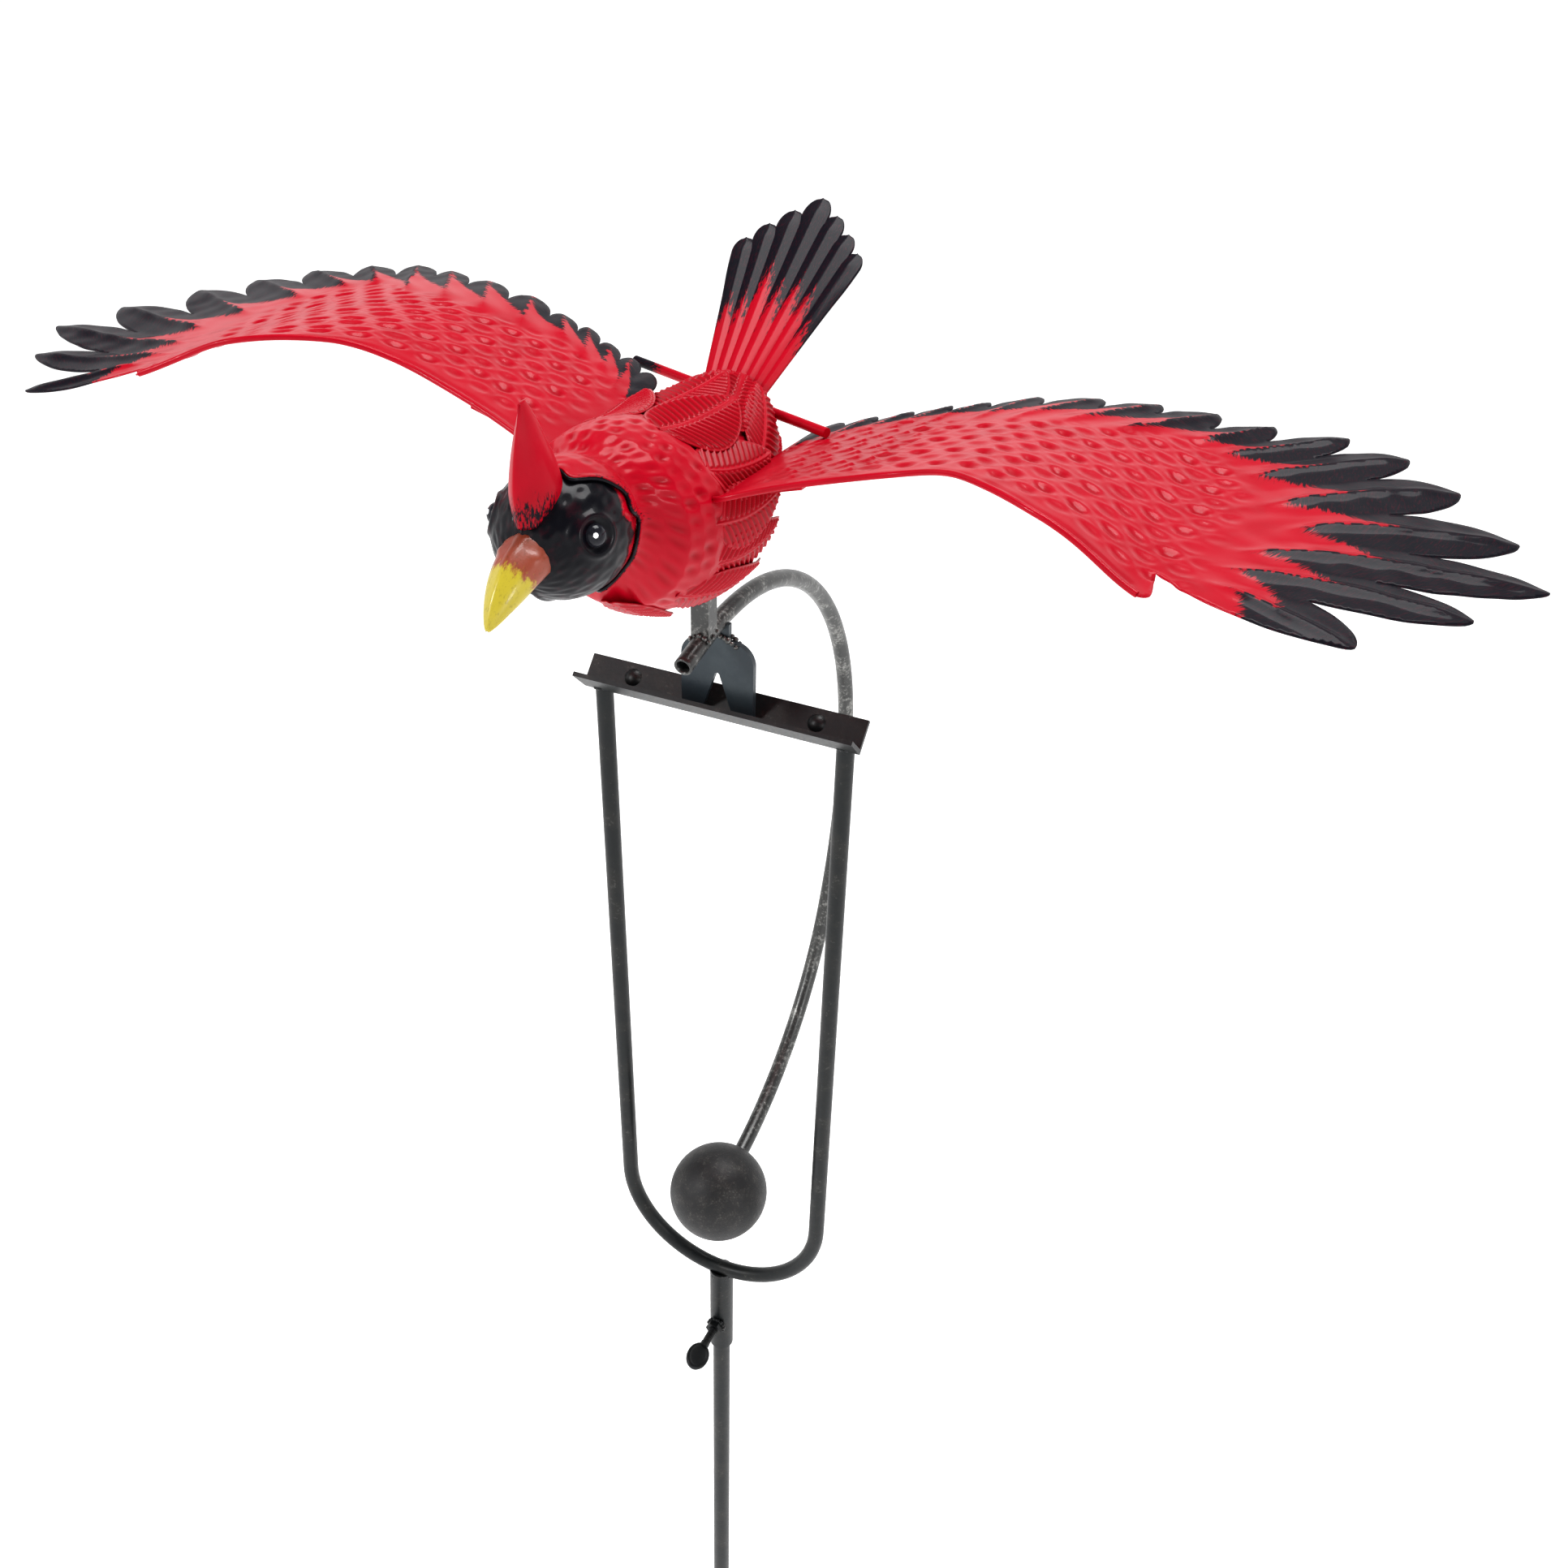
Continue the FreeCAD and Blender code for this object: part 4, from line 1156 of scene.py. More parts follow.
@dataclass
class Tail:
    """A pleated fan of round-tipped feathers, red at the root and dry-brushed black outside."""

    shop: Workshop
    paints: Paints
    root: tuple[float, float] = (6.0, 139.0)
    tip: tuple[float, float] = (96.0, 195.0)
    half_root: float = 12.0
    feathers: int = 7
    spread: float = 12.4
    step: float = 0.075
    pleat: float = 1.9
    overlap: float = 2.4
    thickness: float = 0.8

    def build(self) -> None:
        """Make the fan."""
        run, rise = self.tip[0] - self.root[0], self.tip[1] - self.root[1]
        length = math.hypot(run, rise)
        middle = self.feathers // 2
        along = np.linspace(0.0, 1.0, 110)[:, None]
        across = np.linspace(-1.0, 1.0, 15)[None, :]
        parts = []
        for k in range(-middle, middle + 1):
            swing = math.radians(self.spread * k / middle)
            reach = length * (1 - self.step * abs(k))
            near = self.half_root / self.feathers * 1.25
            far = (reach * math.radians(self.spread / middle) + self.overlap) * 0.60
            half = (near + (far - near) * along) * np.sqrt(np.clip(1 - ((along - 0.91) / 0.09).clip(0) ** 2, 0, 1))
            half = half * (1 + 0.10 * bell(along - 0.8, 0.14))
            start = 2.0 * self.half_root * k / self.feathers
            end = reach * math.sin(swing) + self.overlap * k
            side = across * half
            x = start + (end - start) * along + side * math.cos(swing)
            distance = reach * math.cos(swing) * along - side * math.sin(swing)
            fold = self.pleat * (0.35 + 0.65 * along) * (1 - np.abs(across)) ** 1.25 * (1 - ease(along, 0.9, 1.0) * 0.7)
            lift = fold + 0.12 * (middle - abs(k)) - 0.4
            y = self.root[0] + distance * run / length - lift * rise / length
            z = self.root[1] + distance * rise / length + lift * run / length
            ragged = 0.07 * math.sin(2.4 * k + 1.0)
            black = ease(along + ragged - 0.16 * (1 - np.abs(across)), 0.20, 0.74) * 1.1
            # painted shade darkens each feather's sides, down in the pleats, where it is not brushed black
            values = {"black": black, "painted_shade": 0.5 * np.abs(across) ** 3 * (1 - black.clip(0, 1)),
                      "grain": stacked(distance * 0.28, side * 1.3, 9.0 * k)}
            feather = make_sheet(f"tail_feather_{k + middle}", stacked(x, y, z), values)
            weld(feather)
            face_towards(feather, lambda at, normal: normal.dot(Vector((0, -rise, run))))
            parts.append(feather)
        fan = join("tail_feathers", parts)
        thicken(fan, self.thickness)
        self.shop.fit(fan, "bird", Slot.RED, self.paints.red, ("tail_fan",))


# ---------------------------------------------------------------- wings

Point = tuple[float, float]


@dataclass(frozen=True)
class WingPlan:
    """One wing's feathered outline and heights, seen from above, from the body outwards."""

    heights: tuple = (
        (20.0, 128.0, -0.06), (36.0, 134.0, -0.075), (60.0, 140.5, -0.10), (95.0, 149.0, -0.113),
        (123.0, 155.5, -0.128), (155.0, 155.5, -0.10), (191.0, 148.5, -0.02), (250.0, 143.0, 0.04),
        (312.0, 136.0, 0.03),
    )
    hand_set: float = 3.0
    root_edge: tuple[Point, ...] = ((31.0, -40.0), (29.5, -62.0), (33.0, -77.0), (40.0, -79.0))
    lead: tuple[Point, ...] = (
        (40.0, -79.0), (66.0, -74.0), (93.0, -69.5), (106.0, -71.0), (120.0, -77.0), (136.0, -87.0),
        (152.0, -95.0), (170.0, -99.5), (185.0, -105.0),
    )
    wrist: tuple[Point, ...] = ((185.0, -105.0), (190.5, -107.0), (194.0, -103.5), (193.0, -95.0), (192.0, -88.0))
    feathers: tuple[tuple[Point, Point], ...] = (
        ((256.0, -104.0), (237.0, -80.0)), ((287.0, -66.0), (249.5, -58.0)), ((307.0, -33.0), (259.0, -33.0)),
        ((295.0, -5.0), (251.0, -8.0)), ((272.5, 21.0), (237.5, 14.0)), ((253.0, 37.5), (220.0, 30.0)),
        ((230.5, 49.0), (201.5, 41.0)), ((202.0, 56.0), (180.0, 43.0)), ((180.0, 61.0), (159.0, 41.0)),
        ((159.0, 56.0), (139.0, 36.0)), ((137.0, 51.0), (117.0, 34.0)), ((113.0, 48.0), (97.0, 34.0)),
        ((95.5, 42.5), (82.0, 31.0)), ((81.5, 40.0), (69.0, 24.0)), ((68.0, 33.0), (56.0, 18.0)),
        ((54.5, 28.5), (44.5, 10.0)), ((43.0, 22.0), (34.0, -2.0)),
    )

    def height(self, side: Side, x: Array, y: Array) -> Array:
        """Height of the sheet over a point. Each wing is set by hand, a little unevenly."""
        settle = side.value * self.hand_set * (2.5 * ease(x, 180.0, 260.0) - 1)
        return smooth_read(self.heights, x, 1) + smooth_read(self.heights, x, 2) * y + settle

    def notches(self) -> list[tuple[Array, Array, Array]]:
        """The notch before each feather, its tip and the notch after it."""
        rows = []
        before = np.array(self.wrist[-1])
        for tip, notch in self.feathers:
            rows.append((before, np.array(tip), np.array(notch)))
            before = np.array(notch)
        return rows

    def blade(self, before: Array, tip: Array, after: Array) -> list[Array]:
        """Outline of one feather, with bowed sides and a round tip.

        Args:
            before: The notch it starts from.
            tip: Its tip.
            after: The notch it ends in.

        Returns:
            The outline's points, without the last one.
        """
        points = []
        for start, stop, bow, slot in ((before, tip, 0.13, 0.60), (tip, after, 0.15, 0.40)):
            side = stop - start
            length = float(np.linalg.norm(side))
            outward = np.array([side[1], -side[0]]) / length * min(length * bow, 5.0)
            pull = start + side * slot + outward * 2.0
            for share in np.linspace(0.0, 1.0, max(int(length / 1.1), 8))[:-1]:
                points.append((1 - share) ** 2 * start + 2 * share * (1 - share) * pull + share ** 2 * stop)
        points = np.array(points)
        middle = int(np.argmin(np.linalg.norm(points - tip, axis=1)))
        near = slice(max(middle - 4, 1), middle + 5)
        for _ in range(7):
            smooth = (np.roll(points, 1, axis=0) + np.roll(points, -1, axis=0)) / 2
            points[near] = smooth[near]
        return list(points)

    def outline(self) -> Array:
        """The closed outline's points."""
        points = [np.array(p) for p in self.root_edge[:-1]]
        points += list(smooth_path(list(self.lead), 8)[:-1])
        points += list(smooth_path(list(self.wrist), 6)[:-1])
        for before, tip, after in self.notches():
            points += self.blade(before, tip, after)
        points.append(np.array(self.feathers[-1][1]))
        return np.array(points)

    def ridges(self) -> list[tuple[Array, Array]]:
        """Start and end of each feather's pressed ridge."""
        rows = []
        for k, (before, tip, after) in enumerate(self.notches()):
            base = (before + after) / 2
            inboard = 0.85 if k < 4 else (1.15 if k < 8 else 1.7)
            if k == 0:
                base = base * 0.62 + after * 0.38 + (6.0, -10.0)
            rows.append((base + (base - tip) * inboard, tip))
        return rows


def inside_outline(points: Array, outline: Array) -> Array:
    """Which points lie inside a closed outline."""
    inside = np.zeros(len(points), bool)
    x, y = points[:, 0], points[:, 1]
    for a, b in zip(outline, np.roll(outline, -1, axis=0)):
        if a[1] == b[1]:
            continue
        crosses = (a[1] > y) != (b[1] > y)
        inside ^= crosses & (x < (b[0] - a[0]) * (y - a[1]) / (b[1] - a[1]) + a[0])
    return inside


@dataclass
class Wings:
    """The two pressed wings: hammered, ridged and dry-brushed sheets with a rolled leading edge."""

    shop: Workshop
    paints: Paints
    rods: RodTree
    plan: WingPlan = field(default_factory=WingPlan)
    spacing: float = 1.25
    thickness: float = 0.55
    ridge_height: float = 2.1
    dimple_pitch: tuple[float, float] = (12.0, 9.6)
    dimple_size: tuple[float, float] = (4.3, 3.3)
    dimple_depth: float = 1.15
    bead_radius: float = 1.15
    scale_pitch: tuple[float, float] = (10.0, 6.6)
    scale_height: float = 0.85
    root_finish: dict[Side, tuple[float, float]] = field(
        default_factory=lambda: {Side.LEFT: (70.0, 1.0), Side.RIGHT: (36.0, 0.0)})

    def cut_plan(self) -> tuple[Array, list]:
        """Cut the flat plan into small triangles.

        Returns:
            The plan's points and its triangles.
        """
        outline = self.plan.outline()
        low, high = outline.min(axis=0), outline.max(axis=0)
        step = self.spacing
        xs = np.arange(low[0], high[0], step)
        ys = np.arange(low[1], high[1], step)
        grid = np.stack(np.meshgrid(xs, ys, indexing="ij"), axis=-1)
        grid[1::2, :, 1] += step / 2
        grid = grid.reshape(-1, 2)
        closed = np.vstack([outline, outline[:1]])
        crest_points = []
        grid = grid[inside_outline(grid, outline)]
        grid = grid[polyline_distance(grid, closed) > 0.55 * step]
        for start, stop in self.plan.ridges():
            grid = grid[polyline_distance(grid, np.array([start, stop])) > 0.45 * step]
            count = int(np.linalg.norm(stop - start) / step)
            crest_points.append(start + (stop - start) * np.linspace(0.0, 0.97, count)[:, None])
        spine = np.vstack(crest_points)
        spine = spine[inside_outline(spine, outline)]
        spine = spine[polyline_distance(spine, closed) > 0.4 * step]
        points = np.vstack([outline, grid, spine])
        loop = list(range(len(outline)))
        coords, _edges, faces, _v, _e, _f = delaunay_2d_cdt([Vector(p) for p in points.tolist()], [], [loop], 1, 1e-5)
        return np.array([tuple(p) for p in coords]), [tuple(face) for face in faces]

    def feather_space(self, plan: Array) -> dict[str, Array]:
        """Where each plan point lies among the feather ridges.

        Args:
            plan: The plan's points.

        Returns:
            Its ridge's number, how far along it is, how far across to the next one, the distance to the
            nearest ridge, the gap between ridges and how much the ridge counts as an outer one.
        """
        ridges = self.plan.ridges()
        along, ahead = [], []
        for start, stop in ridges:
            length = np.linalg.norm(stop - start)
            unit = (stop - start) / length
            offset = plan - start
            along.append(offset @ unit / length)
            ahead.append(offset[:, 0] * unit[1] - offset[:, 1] * unit[0])
        along, ahead = np.array(along), np.array(ahead)
        behind = np.where(ahead > 0, ahead, 1e6)
        number = np.argmin(behind, axis=0)
        number[behind.min(axis=0) > 1e5] = len(ridges) - 1
        ids = np.arange(len(plan))
        before = np.maximum(number - 1, 0)
        here = np.abs(ahead[number, ids])
        there = np.where(number > 0, np.abs(ahead[before, ids]), 14.0)
        gap = np.maximum(here + there, 1.0)
        share = np.clip(here / gap, 0.0, 1.0)
        way = along[number, ids] * (1 - share) + np.where(number > 0, along[before, ids], along[0]) * share
        return {"number": number, "along": way, "across": share, "near": np.minimum(here, there), "gap": gap,
                "outer": 1 - ease(number, 6.0, 10.0)}

    def dimples(self, plan: Array, from_lead: Array) -> Array:
        """Depth share of the hammered dimples, and their raised rims as negative values."""
        pitch_x, pitch_v = self.dimple_pitch
        row = np.floor((from_lead - 9.0) / pitch_v)
        shifted = plan[:, 0] / pitch_x + 0.5 * (row % 2)
        cell = np.round(shifted)
        jitter = np.sin(cell * 12.9898 + row * 78.233) * 0.10
        dx = (shifted - cell + jitter) * pitch_x / self.dimple_size[0]
        dv = (from_lead - 9.0 - (row + 0.5) * pitch_v + jitter * 6) / self.dimple_size[1]
        far = np.hypot(dx, dv)
        size = 0.75 + 0.35 * np.sin(cell * 7.1 + row * 3.3)
        pit = (1 - ease(far, 0.25, 1.15)) * size
        return pit - 0.22 * bell(far - 1.25, 0.3)

    def scales(self, plan: Array, from_lead: Array) -> Array:
        """Height share of the small lapped scales near the root."""
        pitch_x, pitch_v = self.scale_pitch
        row = np.floor(from_lead / pitch_v)
        shifted = plan[:, 0] / pitch_x + 0.5 * (row % 2) + 0.12 * np.sin(row * 4.1)
        dx = shifted - np.floor(shifted)
        dv = np.abs(from_lead / pitch_v - row - 0.5) * 2
        front = 0.92 - 0.38 * dv ** 2
        return np.where(dx < front, (dx / front) ** 2.2, 0.0) * (1 - 0.5 * dv ** 3)

    def relief(self, side: Side, plan: Array, space: dict[str, Array]) -> tuple[Array, Array]:
        """How high each plan point is pressed.

        Args:
            side: Which wing.
            plan: The plan's points.
            space: Where they lie among the feather ridges.

        Returns:
            The heights, and how much painted shade each point gets in the dimples and between the scales.
        """
        x, y, way = plan[:, 0], plan[:, 1], space["along"]
        lead = np.array(self.plan.lead)
        from_lead = y - np.interp(x, lead[:, 0], lead[:, 1])
        half_gap = np.maximum(space["gap"] / 2, 2.0)
        roof = np.clip(1 - space["near"] / half_gap, 0, 1) ** 1.2
        fold = 0.7 * roof + 0.5 * bell(space["near"], 2.4)
        crest = ease(way, -0.04, 0.24) * (1 - 0.6 * ease(way, 0.8, 1.0))
        ridge = self.ridge_height * (0.55 + 0.45 * space["outer"]) * fold * crest
        ridge = ridge * np.minimum(half_gap / 6.0, 1.0)
        hammered = (1 - ease(way, -0.10, 0.08)) * ease(from_lead, 9.0, 14.0) * (1 - ease(x, 196.0, 210.0))
        hammered = hammered * (1 - ease(x + 0.6 * y, 150.0, 172.0) * ease(-y, 40, 62))
        dimple_from, scaled = self.root_finish[side]
        pit = self.dimples(plan, from_lead) * hammered * ease(x, dimple_from, dimple_from + 18.0)
        scaled = (1 - ease(x, 78.0, 98.0)) * ease(x, 38.0, 50.0) * ease(from_lead, 9.0, 15.0) * scaled
        scales = self.scales(plan, from_lead)
        scale = scales * scaled * (1 - ease(way, 0.05, 0.3))
        edge = polyline_distance(plan, smooth_path(list(self.plan.lead), 4))
        hem = 0.9 * (1 - ease(edge, 1.0, 3.4)) - 0.45 * bell(edge - 4.2, 1.0)
        hem = hem * (x < self.plan.wrist[0][0] + 3.0)
        rough = 0.16 * np.sin(x * 0.31 + 1.7 * np.sin(y * 0.13)) * np.sin(y * 0.27)
        relief = ridge - self.dimple_depth * pit + self.scale_height * scale + hem + rough
        # painted shade in the dimples and in the low ends of the scales
        return relief, np.clip(0.45 * pit.clip(0, 1) + 0.4 * scaled * (1 - scales), 0, 0.7)

    def brush(self, space: dict[str, Array]) -> tuple[Array, Array]:
        """How the black is brushed on.

        Args:
            space: Where the plan's points lie among the feather ridges.

        Returns:
            How much black each point has, and its place along and across the strokes.
        """
        number, way, share, outer = (space[key] for key in ("number", "along", "across", "outer"))
        reach = 0.05 + 1.25 * ease(way, 0.02, 0.72) - 0.30 * (number == 0)
        reach_inner = -0.15 + 1.1 * ease(way, 0.1, 0.9)
        filled = outer * reach + (1 - outer) * reach_inner
        black = np.clip(0.5 + (filled - share) * 2.6, 0, 1) * ease(way, 0.0, 0.16)
        black = black * (1 - 0.3 * (number == 0) * ease(way, 0.8, 1.0))
        lengths = np.array([np.linalg.norm(stop - start) for start, stop in self.plan.ridges()])
        stroke = way * lengths[number] + space["near"] * 0.55
        return black, stacked(stroke, share * space["gap"] * 0.22, number * 9.0)

    def sheet(self, side: Side, plan: Array, faces: list) -> None:
        """Press one wing from the cut plan."""
        space = self.feather_space(plan)
        relief, painted_shade = self.relief(side, plan, space)
        black, grain = self.brush(space)
        z = self.plan.height(side, plan[:, 0], plan[:, 1]) + relief
        points = np.column_stack([side.value * plan[:, 0], plan[:, 1], z])
        word = side.name.lower()
        values = {"black": black, "grain": grain, "painted_shade": painted_shade}
        wing = make_mesh(f"wing_sheet_{word}", points, faces, values)
        face_towards(wing, lambda at, normal: normal.z)
        thicken(wing, self.thickness)
        self.shop.fit(wing, "bird", Slot.RED, self.paints.red, (f"wing_{word}",))

    def bead(self, side: Side) -> None:
        """Roll the leading edge."""
        path = smooth_path([self.plan.root_edge[-2], *self.plan.lead, self.plan.wrist[1]], 10)
        z = self.plan.height(side, path[:, 0], path[:, 1])
        line = np.column_stack([side.value * path[:, 0], path[:, 1] + 0.6, z])
        bead = self.rods.rod(f"wing_bead_{side.name.lower()}", line, self.bead_radius, self.paints.red, 12, 1.2)
        self.shop.fit(bead, "bird", Slot.RED, self.paints.red)

    def build(self) -> None:
        """Make both wings."""
        plan, faces = self.cut_plan()
        for side in Side:
            self.sheet(side, plan, faces)
            self.bead(side)


# ---------------------------------------------------------------- the stand and the rocker's steel

@dataclass
class Steelwork:
    """The stake, the yoke, the thumb screw and the rocker's arm, with their welds."""

    shop: Workshop
    paints: Paints
    rods: RodTree
    drops: BlobTree
    threads: ThreadTree
    arm_front: tuple[float, float] = (-36.3, 39.7)
    arm_rise: float = 10.8
    arm_straight: float = 20.0
    arm_arcs: tuple[tuple[float, float], ...] = ((140.2, 94.9), (241.1, 28.8), (155.1, 64.25))
    arm_radius: float = 4.0
    arm_bore: float = 2.9
    mouth_depth: float = 26.0
    plate_y: float = -3.5
    plate_top: float = 38.2
    ball_radius: float = 25.2
    post_foot: tuple[Point, ...] = (
        (-4.2, -21.0), (4.2, -21.0), (-4.2, -13.0), (4.2, -13.0), (0.0, -21.4), (0.0, -12.6),
        (-4.4, -17.0), (4.4, -17.0), (-2.2, -21.4), (2.2, -21.4),
    )
    screw_paddle: tuple[float, float, float] = (8.3, 6.25, 30.7)
    screw_pitch: float = 0.8
    brace_radius: float = 2.0
    brace: tuple[tuple[float, float, float], ...] = ((-56.0, 33.3, 136.6), (46.0, -4.0, 136.6))

    def arm_line(self, step: float = 2.0) -> tuple[Array, Array]:
        """The bent tube's centreline.

        Args:
            step: How far apart its points are.

        Returns:
            Points and headings in (y, z), the heading in radians above +Y.
        """
        heading = math.radians(self.arm_rise)
        spot = np.array(self.arm_front)
        spots, headings = [], []
        count = int(self.arm_straight / step)
        for k in range(count):
            spots.append(spot + k / count * self.arm_straight * np.array([math.cos(heading), math.sin(heading)]))
            headings.append(heading)
        spot = spot + self.arm_straight * np.array([math.cos(heading), math.sin(heading)])
        for radius, turn in self.arm_arcs:
            centre = spot + radius * np.array([math.sin(heading), -math.cos(heading)])
            count = int(radius * math.radians(turn) / step)
            for k in range(count):
                angle = heading - math.radians(turn) * k / count
                spots.append(centre + radius * np.array([-math.sin(angle), math.cos(angle)]))
                headings.append(angle)
            heading -= math.radians(turn)
            spot = centre + radius * np.array([-math.sin(heading), math.cos(heading)])
        return np.array(spots), np.array(headings)

    def arm(self) -> None:
        """Make the bent tube, open at its front end."""
        spots, headings = self.arm_line()
        sides = 28
        order = [(i, self.arm_radius) for i in range(len(spots) - 1, -1, -1)]
        rim = (self.arm_radius + self.arm_bore) / 2
        deep = int(self.mouth_depth / 2.0)
        order += [(0, rim)] + [(i, self.arm_bore) for i in range(deep)] + [(deep, 0.01)]
        roll = np.linspace(0.0, 2 * np.pi, sides, endpoint=False)
        rings = []
        for index, radius in order:
            heading = headings[index]
            y = spots[index][0] - math.sin(heading) * radius * np.cos(roll)
            z = spots[index][1] + math.cos(heading) * radius * np.cos(roll)
            bulge = -0.25 if (index, radius) == (0, rim) else 0.0
            rings.append(np.column_stack([radius * np.sin(roll), y + bulge, z]))
        faces = grid_faces(len(rings), sides, True)
        faces.append(tuple(range(sides)))
        arm = make_mesh("pendulum_tube", np.array(rings), faces)
        weld(arm, 0.02)
        self.shop.fit(arm, "bird", Slot.STAND, self.paints.steel, ("pendulum_arm",))

    def ring_of(self, centre: tuple, radius: float, axis: str, count: int) -> Array:
        """Spots on a circle round an axis, "x", "y" or "z"."""
        turn = np.linspace(0.0, 2 * np.pi, count, endpoint=False)
        one, two = radius * np.cos(turn), radius * np.sin(turn)
        flat = {"x": (0 * one, one, two), "y": (one, 0 * one, two), "z": (one, two, 0 * one)}[axis]
        return np.array(centre) + np.column_stack(flat)

    def lay(self, name: str, body: str, spots: Array, size: tuple[float, float, int],
            paint: bpy.types.Material, slot: Slot = Slot.STAND) -> None:
        """Lay one lumpy weld bead.

        Args:
            name: The piece's name.
            body: The body that it moves with.
            spots: The drops' middles, in millimetres from the valley.
            size: The drops' radius, the height of their lumps and their random seed.
            paint: Their paint.
            slot: The record's material slot.
        """
        radius, lumps, seed = size
        self.shop.fit(self.drops.drops(name, spots, radius, paint, lumps, seed), body, slot, paint)

    def welds(self) -> None:
        """Make the lumpy weld beads of the yoke and of the rocker."""
        stand, steel = self.paints.stand, self.paints.steel
        low, high = cad_box("sleeve_nut")
        nut = (0.0, high[1] - 2.6, (low[2] + high[2]) / 2)
        self.lay("nut_weld", "yoke", self.ring_of(nut, 4.3, "y", 14), (1.1, 0.9, 3), stand)
        top = cad_box("socket_sleeve")[1][2]
        self.lay("bow_weld", "yoke", self.ring_of((0.0, 0.0, top - 2.4), 5.2, "z", 18), (1.5, 1.1, 4), stand)
        foot = cad_box("v_crossbar")[0][2] + 1.2
        feet = [self.ring_of((side * 58.3, -0.6, foot), 3.7, "z", 12) for side in (-1, 1)]
        self.lay("leg_welds", "yoke", np.vstack(feet), (1.2, 0.9, 5), stand)
        spread = np.linspace(-9.0, 9.0, 11)
        bend = 1.2 - 0.045 * spread ** 2
        seams = [stacked(spread, self.plate_y + gap, self.plate_top + bend) for gap in (-1.9, 1.9)]
        self.lay("plate_weld", "bird", np.vstack(seams), (1.25, 1.0, 6), steel)
        centres, headings = self.arm_line()
        spots = []
        for x, y in self.post_foot:
            level = np.interp(y, *centres.T)
            spots.append((x, y, level + math.sqrt(max(self.arm_radius ** 2 - min(abs(x), 3.6) ** 2, 0.0)) + 0.1))
        self.lay("post_weld", "bird", np.array(spots), (1.1, 0.8, 7), steel)
        from_ball = np.hypot(*(centres - centres[-1]).T)
        at = int(np.argmin(np.abs(from_ball - self.ball_radius)))
        turn = np.linspace(0.0, 2 * np.pi, 14, endpoint=False)
        radius, heading = self.arm_radius + 0.1, headings[at]
        ring = np.column_stack([radius * np.sin(turn), centres[at][0] - math.sin(heading) * radius * np.cos(turn),
                                centres[at][1] + math.cos(heading) * radius * np.cos(turn)])
        self.lay("ball_weld", "bird", ring, (1.1, 0.9, 8), self.paints.ball, Slot.BALL)

    def thumb_screw(self) -> None:
        """Make the screw: a threaded shank and a pressed paddle with a rounded rim."""
        low, high = cad_box("thumb_screw")
        z = (low[2] + high[2]) / 2
        half_long, half_wide, lean = self.screw_paddle
        lean = math.radians(lean)
        centre = low[1] + half_long
        root = centre + half_long
        rim = 1.55
        profile = [(0.0, 0.9), (0.62, 0.9), (0.75, 1.1), (0.86, rim), (0.96, rim * 0.75), (1.0, 0.0)]
        profile += [(r, -h) for r, h in profile[-2::-1]]
        roll = np.linspace(0.0, 2 * np.pi, 48, endpoint=False)
        rings = []
        for r, h in profile:
            across = r * half_wide * np.sin(roll)
            rings.append(np.column_stack([across * math.cos(lean) + h * math.sin(lean),
                                          centre + r * half_long * np.cos(roll),
                                          z - across * math.sin(lean) + h * math.cos(lean)]))
        paddle = make_sheet("screw_paddle", np.array(rings), closed=True)
        weld(paddle)
        shank_line = np.array([(0.0, high[1], z), (0.0, root - 2.2, z)])
        shank = self.rods.rod("screw_shank", shank_line, 2.05, self.paints.stand, 20, 1.0)
        collar_line = np.array([(0.0, root + 1.6, z), (0.0, root - 1.8, z)])
        collar = self.rods.rod("screw_collar", collar_line, 2.5, self.paints.stand, 20, 1.0)
        length = high[1] - root - 3.0
        thread = self.threads.grow("screw_thread", np.array([(0.0, high[1] - 0.6, z)]), [],
                                   Radius=2.0 * MM, Length=length * MM, Turns=length / self.screw_pitch,
                                   Ridge=0.32 * MM,
                                   Lean=(math.pi / 2, 0.0, 0.0), Finish=self.paints.stand)
        screw = join("thumb_screw_turned", [paddle, shank, collar, thread])
        self.shop.fit(screw, "thumb_screw", Slot.STAND, self.paints.stand, ("thumb_screw",))

    def brace_rod(self) -> None:
        """Make the rod that ties the wings, red with a black end."""
        rod = self.rods.rod("brace_rod_red", np.array(self.brace), self.brace_radius, self.paints.red, 20, 1.5, 0.03)
        spots = np.array([vertex.co for vertex in rod.data.vertices]) / MM
        values = {"black": 1 - ease(spots[:, 0], -55.0, -34.0), "grain": spots * (0.3, 1.0, 1.0)}
        store(rod.data, values, spots.shape)
        self.shop.fit(rod, "bird", Slot.RED, self.paints.red, ("brace_rod",))

    def build(self) -> None:
        """Make the steel pieces and paint the CAD nodes that keep their shape."""
        self.arm()
        self.welds()
        self.thumb_screw()
        self.brace_rod()
        for node in ("lower_pole", "step_fork", "upper_pole", "socket_sleeve", "sleeve_nut", "yoke_frame",
                     "v_crossbar", "stop_rivets"):
            self.shop.repaint(node, self.paints.stand)
        self.shop.repaint("body_post", self.paints.steel)
        self.shop.repaint("pivot_plate", self.paints.plate)
        self.shop.repaint("counterweight_ball", self.paints.ball)
        for node in ("body_shell_left", "body_shell_right", "wing_straps"):
            self.shop.repaint(node, self.paints.red)


# ---------------------------------------------------------------- studio

@dataclass(frozen=True)
class Softbox:
    """A square soft light that looks at a point."""

    name: str
    place: tuple[float, float, float]
    aim: tuple[float, float, float]
    size: float
    power: float


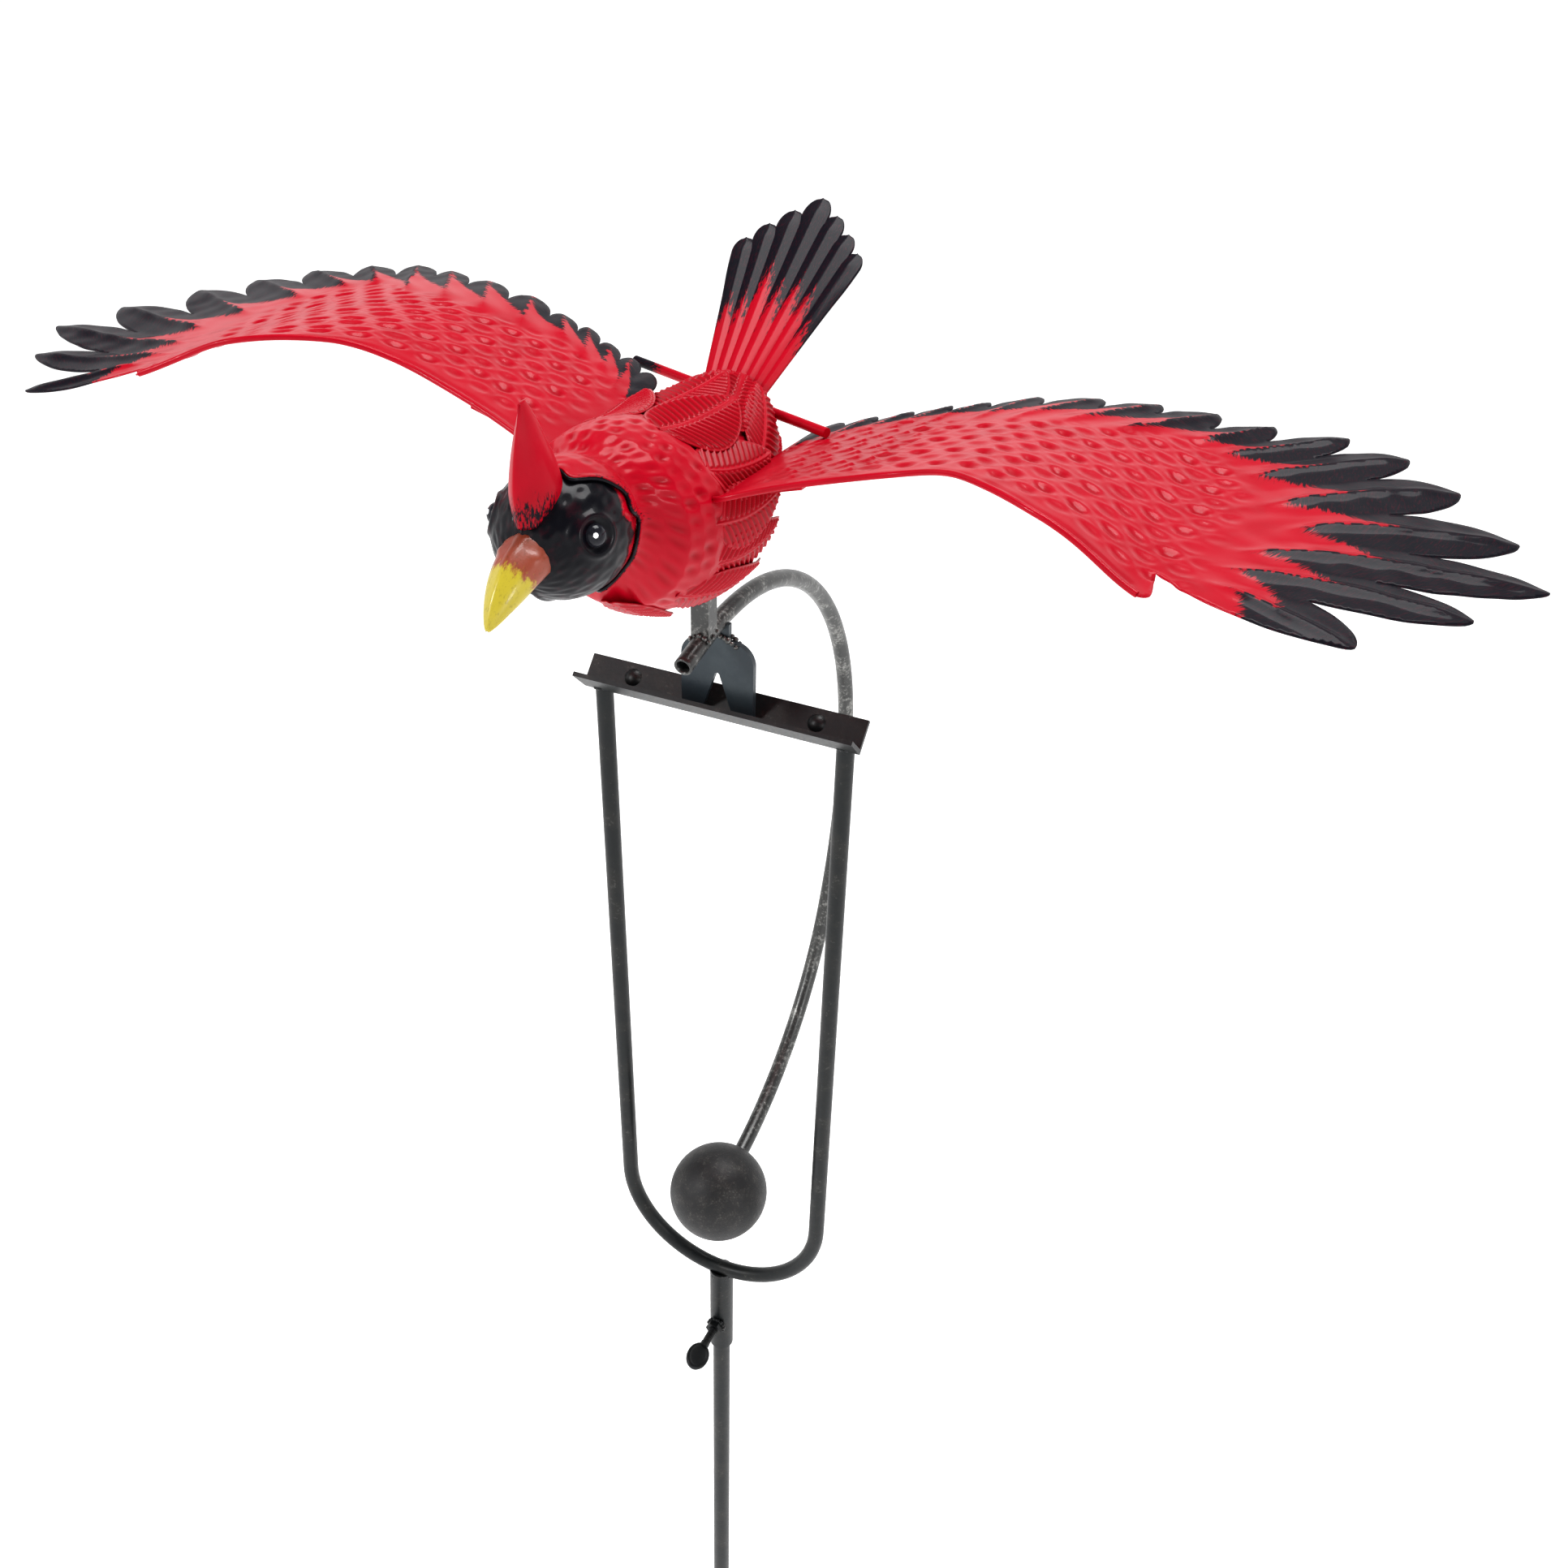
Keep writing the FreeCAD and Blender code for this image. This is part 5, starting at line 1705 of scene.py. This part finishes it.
@dataclass
class Studio:
    """Pale floor, a pale wall all round under a dark ceiling, soft lights and the camera."""

    camera_place: tuple[float, float, float] = (278.08, -573.71, 382.36)
    yaw: float = 23.373
    pitch: float = 33.401
    roll: float = 1.404
    lens: float = 39.29
    floor_half: float = 30.0
    floor_glow: float = 0.62
    wall_level: float = 1.12
    ceiling_level: float = 0.16
    wall_foot: float = 0.26
    wall_top: float = 0.52
    boxes: tuple[Softbox, ...] = (
        Softbox("Overhead", (0.2, 0.6, 2.9), (0.0, 0.0, 1.0), 1.2, 40.0),
        Softbox("Key", (-1.3, -1.5, 2.2), (0.0, -0.05, 1.05), 0.42, 20.0),
        Softbox("Side", (2.0, -0.9, 1.7), (0.0, 0.0, 0.9), 0.5, 7.0),
    )

    def floor(self) -> None:
        """Lay the floor."""
        half = self.floor_half
        mesh = bpy.data.meshes.new("Floor")
        mesh.from_pydata([(-half, -half, 0), (half, -half, 0), (half, half, 0), (-half, half, 0)], [], [(0, 1, 2, 3)])
        floor = bpy.data.objects.new("Floor", mesh)
        bpy.context.scene.collection.objects.link(floor)
        material, nodes, shader = new_material("Pale floor")
        tone = nodes.blend(nodes.noise(nodes.place(), 0.4), colour(0.90, 0.90, 0.90), colour(0.94, 0.94, 0.94))
        nodes.give(shader, {"Base Color": tone, "Emission Color": tone, "Roughness": 0.9,
                            "Emission Strength": self.floor_glow})
        mesh.materials.append(material)

    def lights(self) -> None:
        """Hang the lights."""
        world = bpy.data.worlds.new("Soft room")
        world.use_nodes = True
        back = world.node_tree.nodes["Background"]
        nodes = Nodes(world.node_tree)
        ray = nodes.add("ShaderNodeSeparateXYZ", {0: nodes.add("ShaderNodeTexCoord").outputs["Generated"]})
        wall = nodes.span(ray.outputs["Z"], self.wall_top, self.wall_foot)
        level = nodes.sum("ADD", nodes.sum("MULTIPLY", wall, self.wall_level - self.ceiling_level), self.ceiling_level)
        back.inputs["Color"].default_value = colour(1.0, 1.0, 1.0)
        world.node_tree.links.new(level, back.inputs["Strength"])
        bpy.context.scene.world = world
        for box in self.boxes:
            light = bpy.data.lights.new(box.name, "AREA")
            light.size = box.size
            light.energy = box.power
            lamp = bpy.data.objects.new(box.name, light)
            lamp.location = box.place
            aim = Vector(box.aim) - Vector(box.place)
            lamp.rotation_euler = aim.to_track_quat("-Z", "Y").to_euler()
            bpy.context.scene.collection.objects.link(lamp)

    def camera(self) -> None:
        """Set the camera up."""
        yaw, pitch, roll = (math.radians(angle) for angle in (self.yaw, self.pitch, self.roll))
        ahead = Vector((-math.sin(yaw) * math.cos(pitch), math.cos(yaw) * math.cos(pitch), -math.sin(pitch)))
        level = Vector((math.cos(yaw), math.sin(yaw), 0.0))
        up = level.cross(ahead)
        right = math.cos(roll) * level + math.sin(roll) * up
        up = math.cos(roll) * up - math.sin(roll) * level
        data = bpy.data.cameras.new("Camera")
        data.lens = self.lens
        data.clip_start = 0.01
        camera = bpy.data.objects.new("Camera", data)
        turn = Matrix((right, up, -ahead)).transposed().to_4x4()
        spot = Vector(to_frame(np.array(self.camera_place)).tolist())
        camera.matrix_world = Matrix.Translation(spot) @ turn
        bpy.context.scene.collection.objects.link(camera)
        bpy.context.scene.camera = camera

    def build(self) -> None:
        """Make the studio."""
        self.floor()
        self.lights()
        self.camera()
        bpy.context.scene.view_settings.view_transform = "Standard"
        bpy.context.scene.view_settings.look = "Medium High Contrast"


def main() -> None:
    """Build every sub-assembly."""
    logging.basicConfig(level=logging.INFO, format="%(message)s")
    Studio().build()
    shop = Workshop()
    paints = Paints()
    rods, drops, threads = RodTree(), BlobTree(), ThreadTree()
    Steelwork(shop, paints, rods, drops, threads).build()
    Plumage(shop, paints).build()
    Collar(shop, paints, rods).build()
    Head(shop, paints, rods).build()
    Tail(shop, paints).build()
    Wings(shop, paints, rods).build()
    log.info("%d pieces", shop.count)


if __name__ == "__main__":
    main()
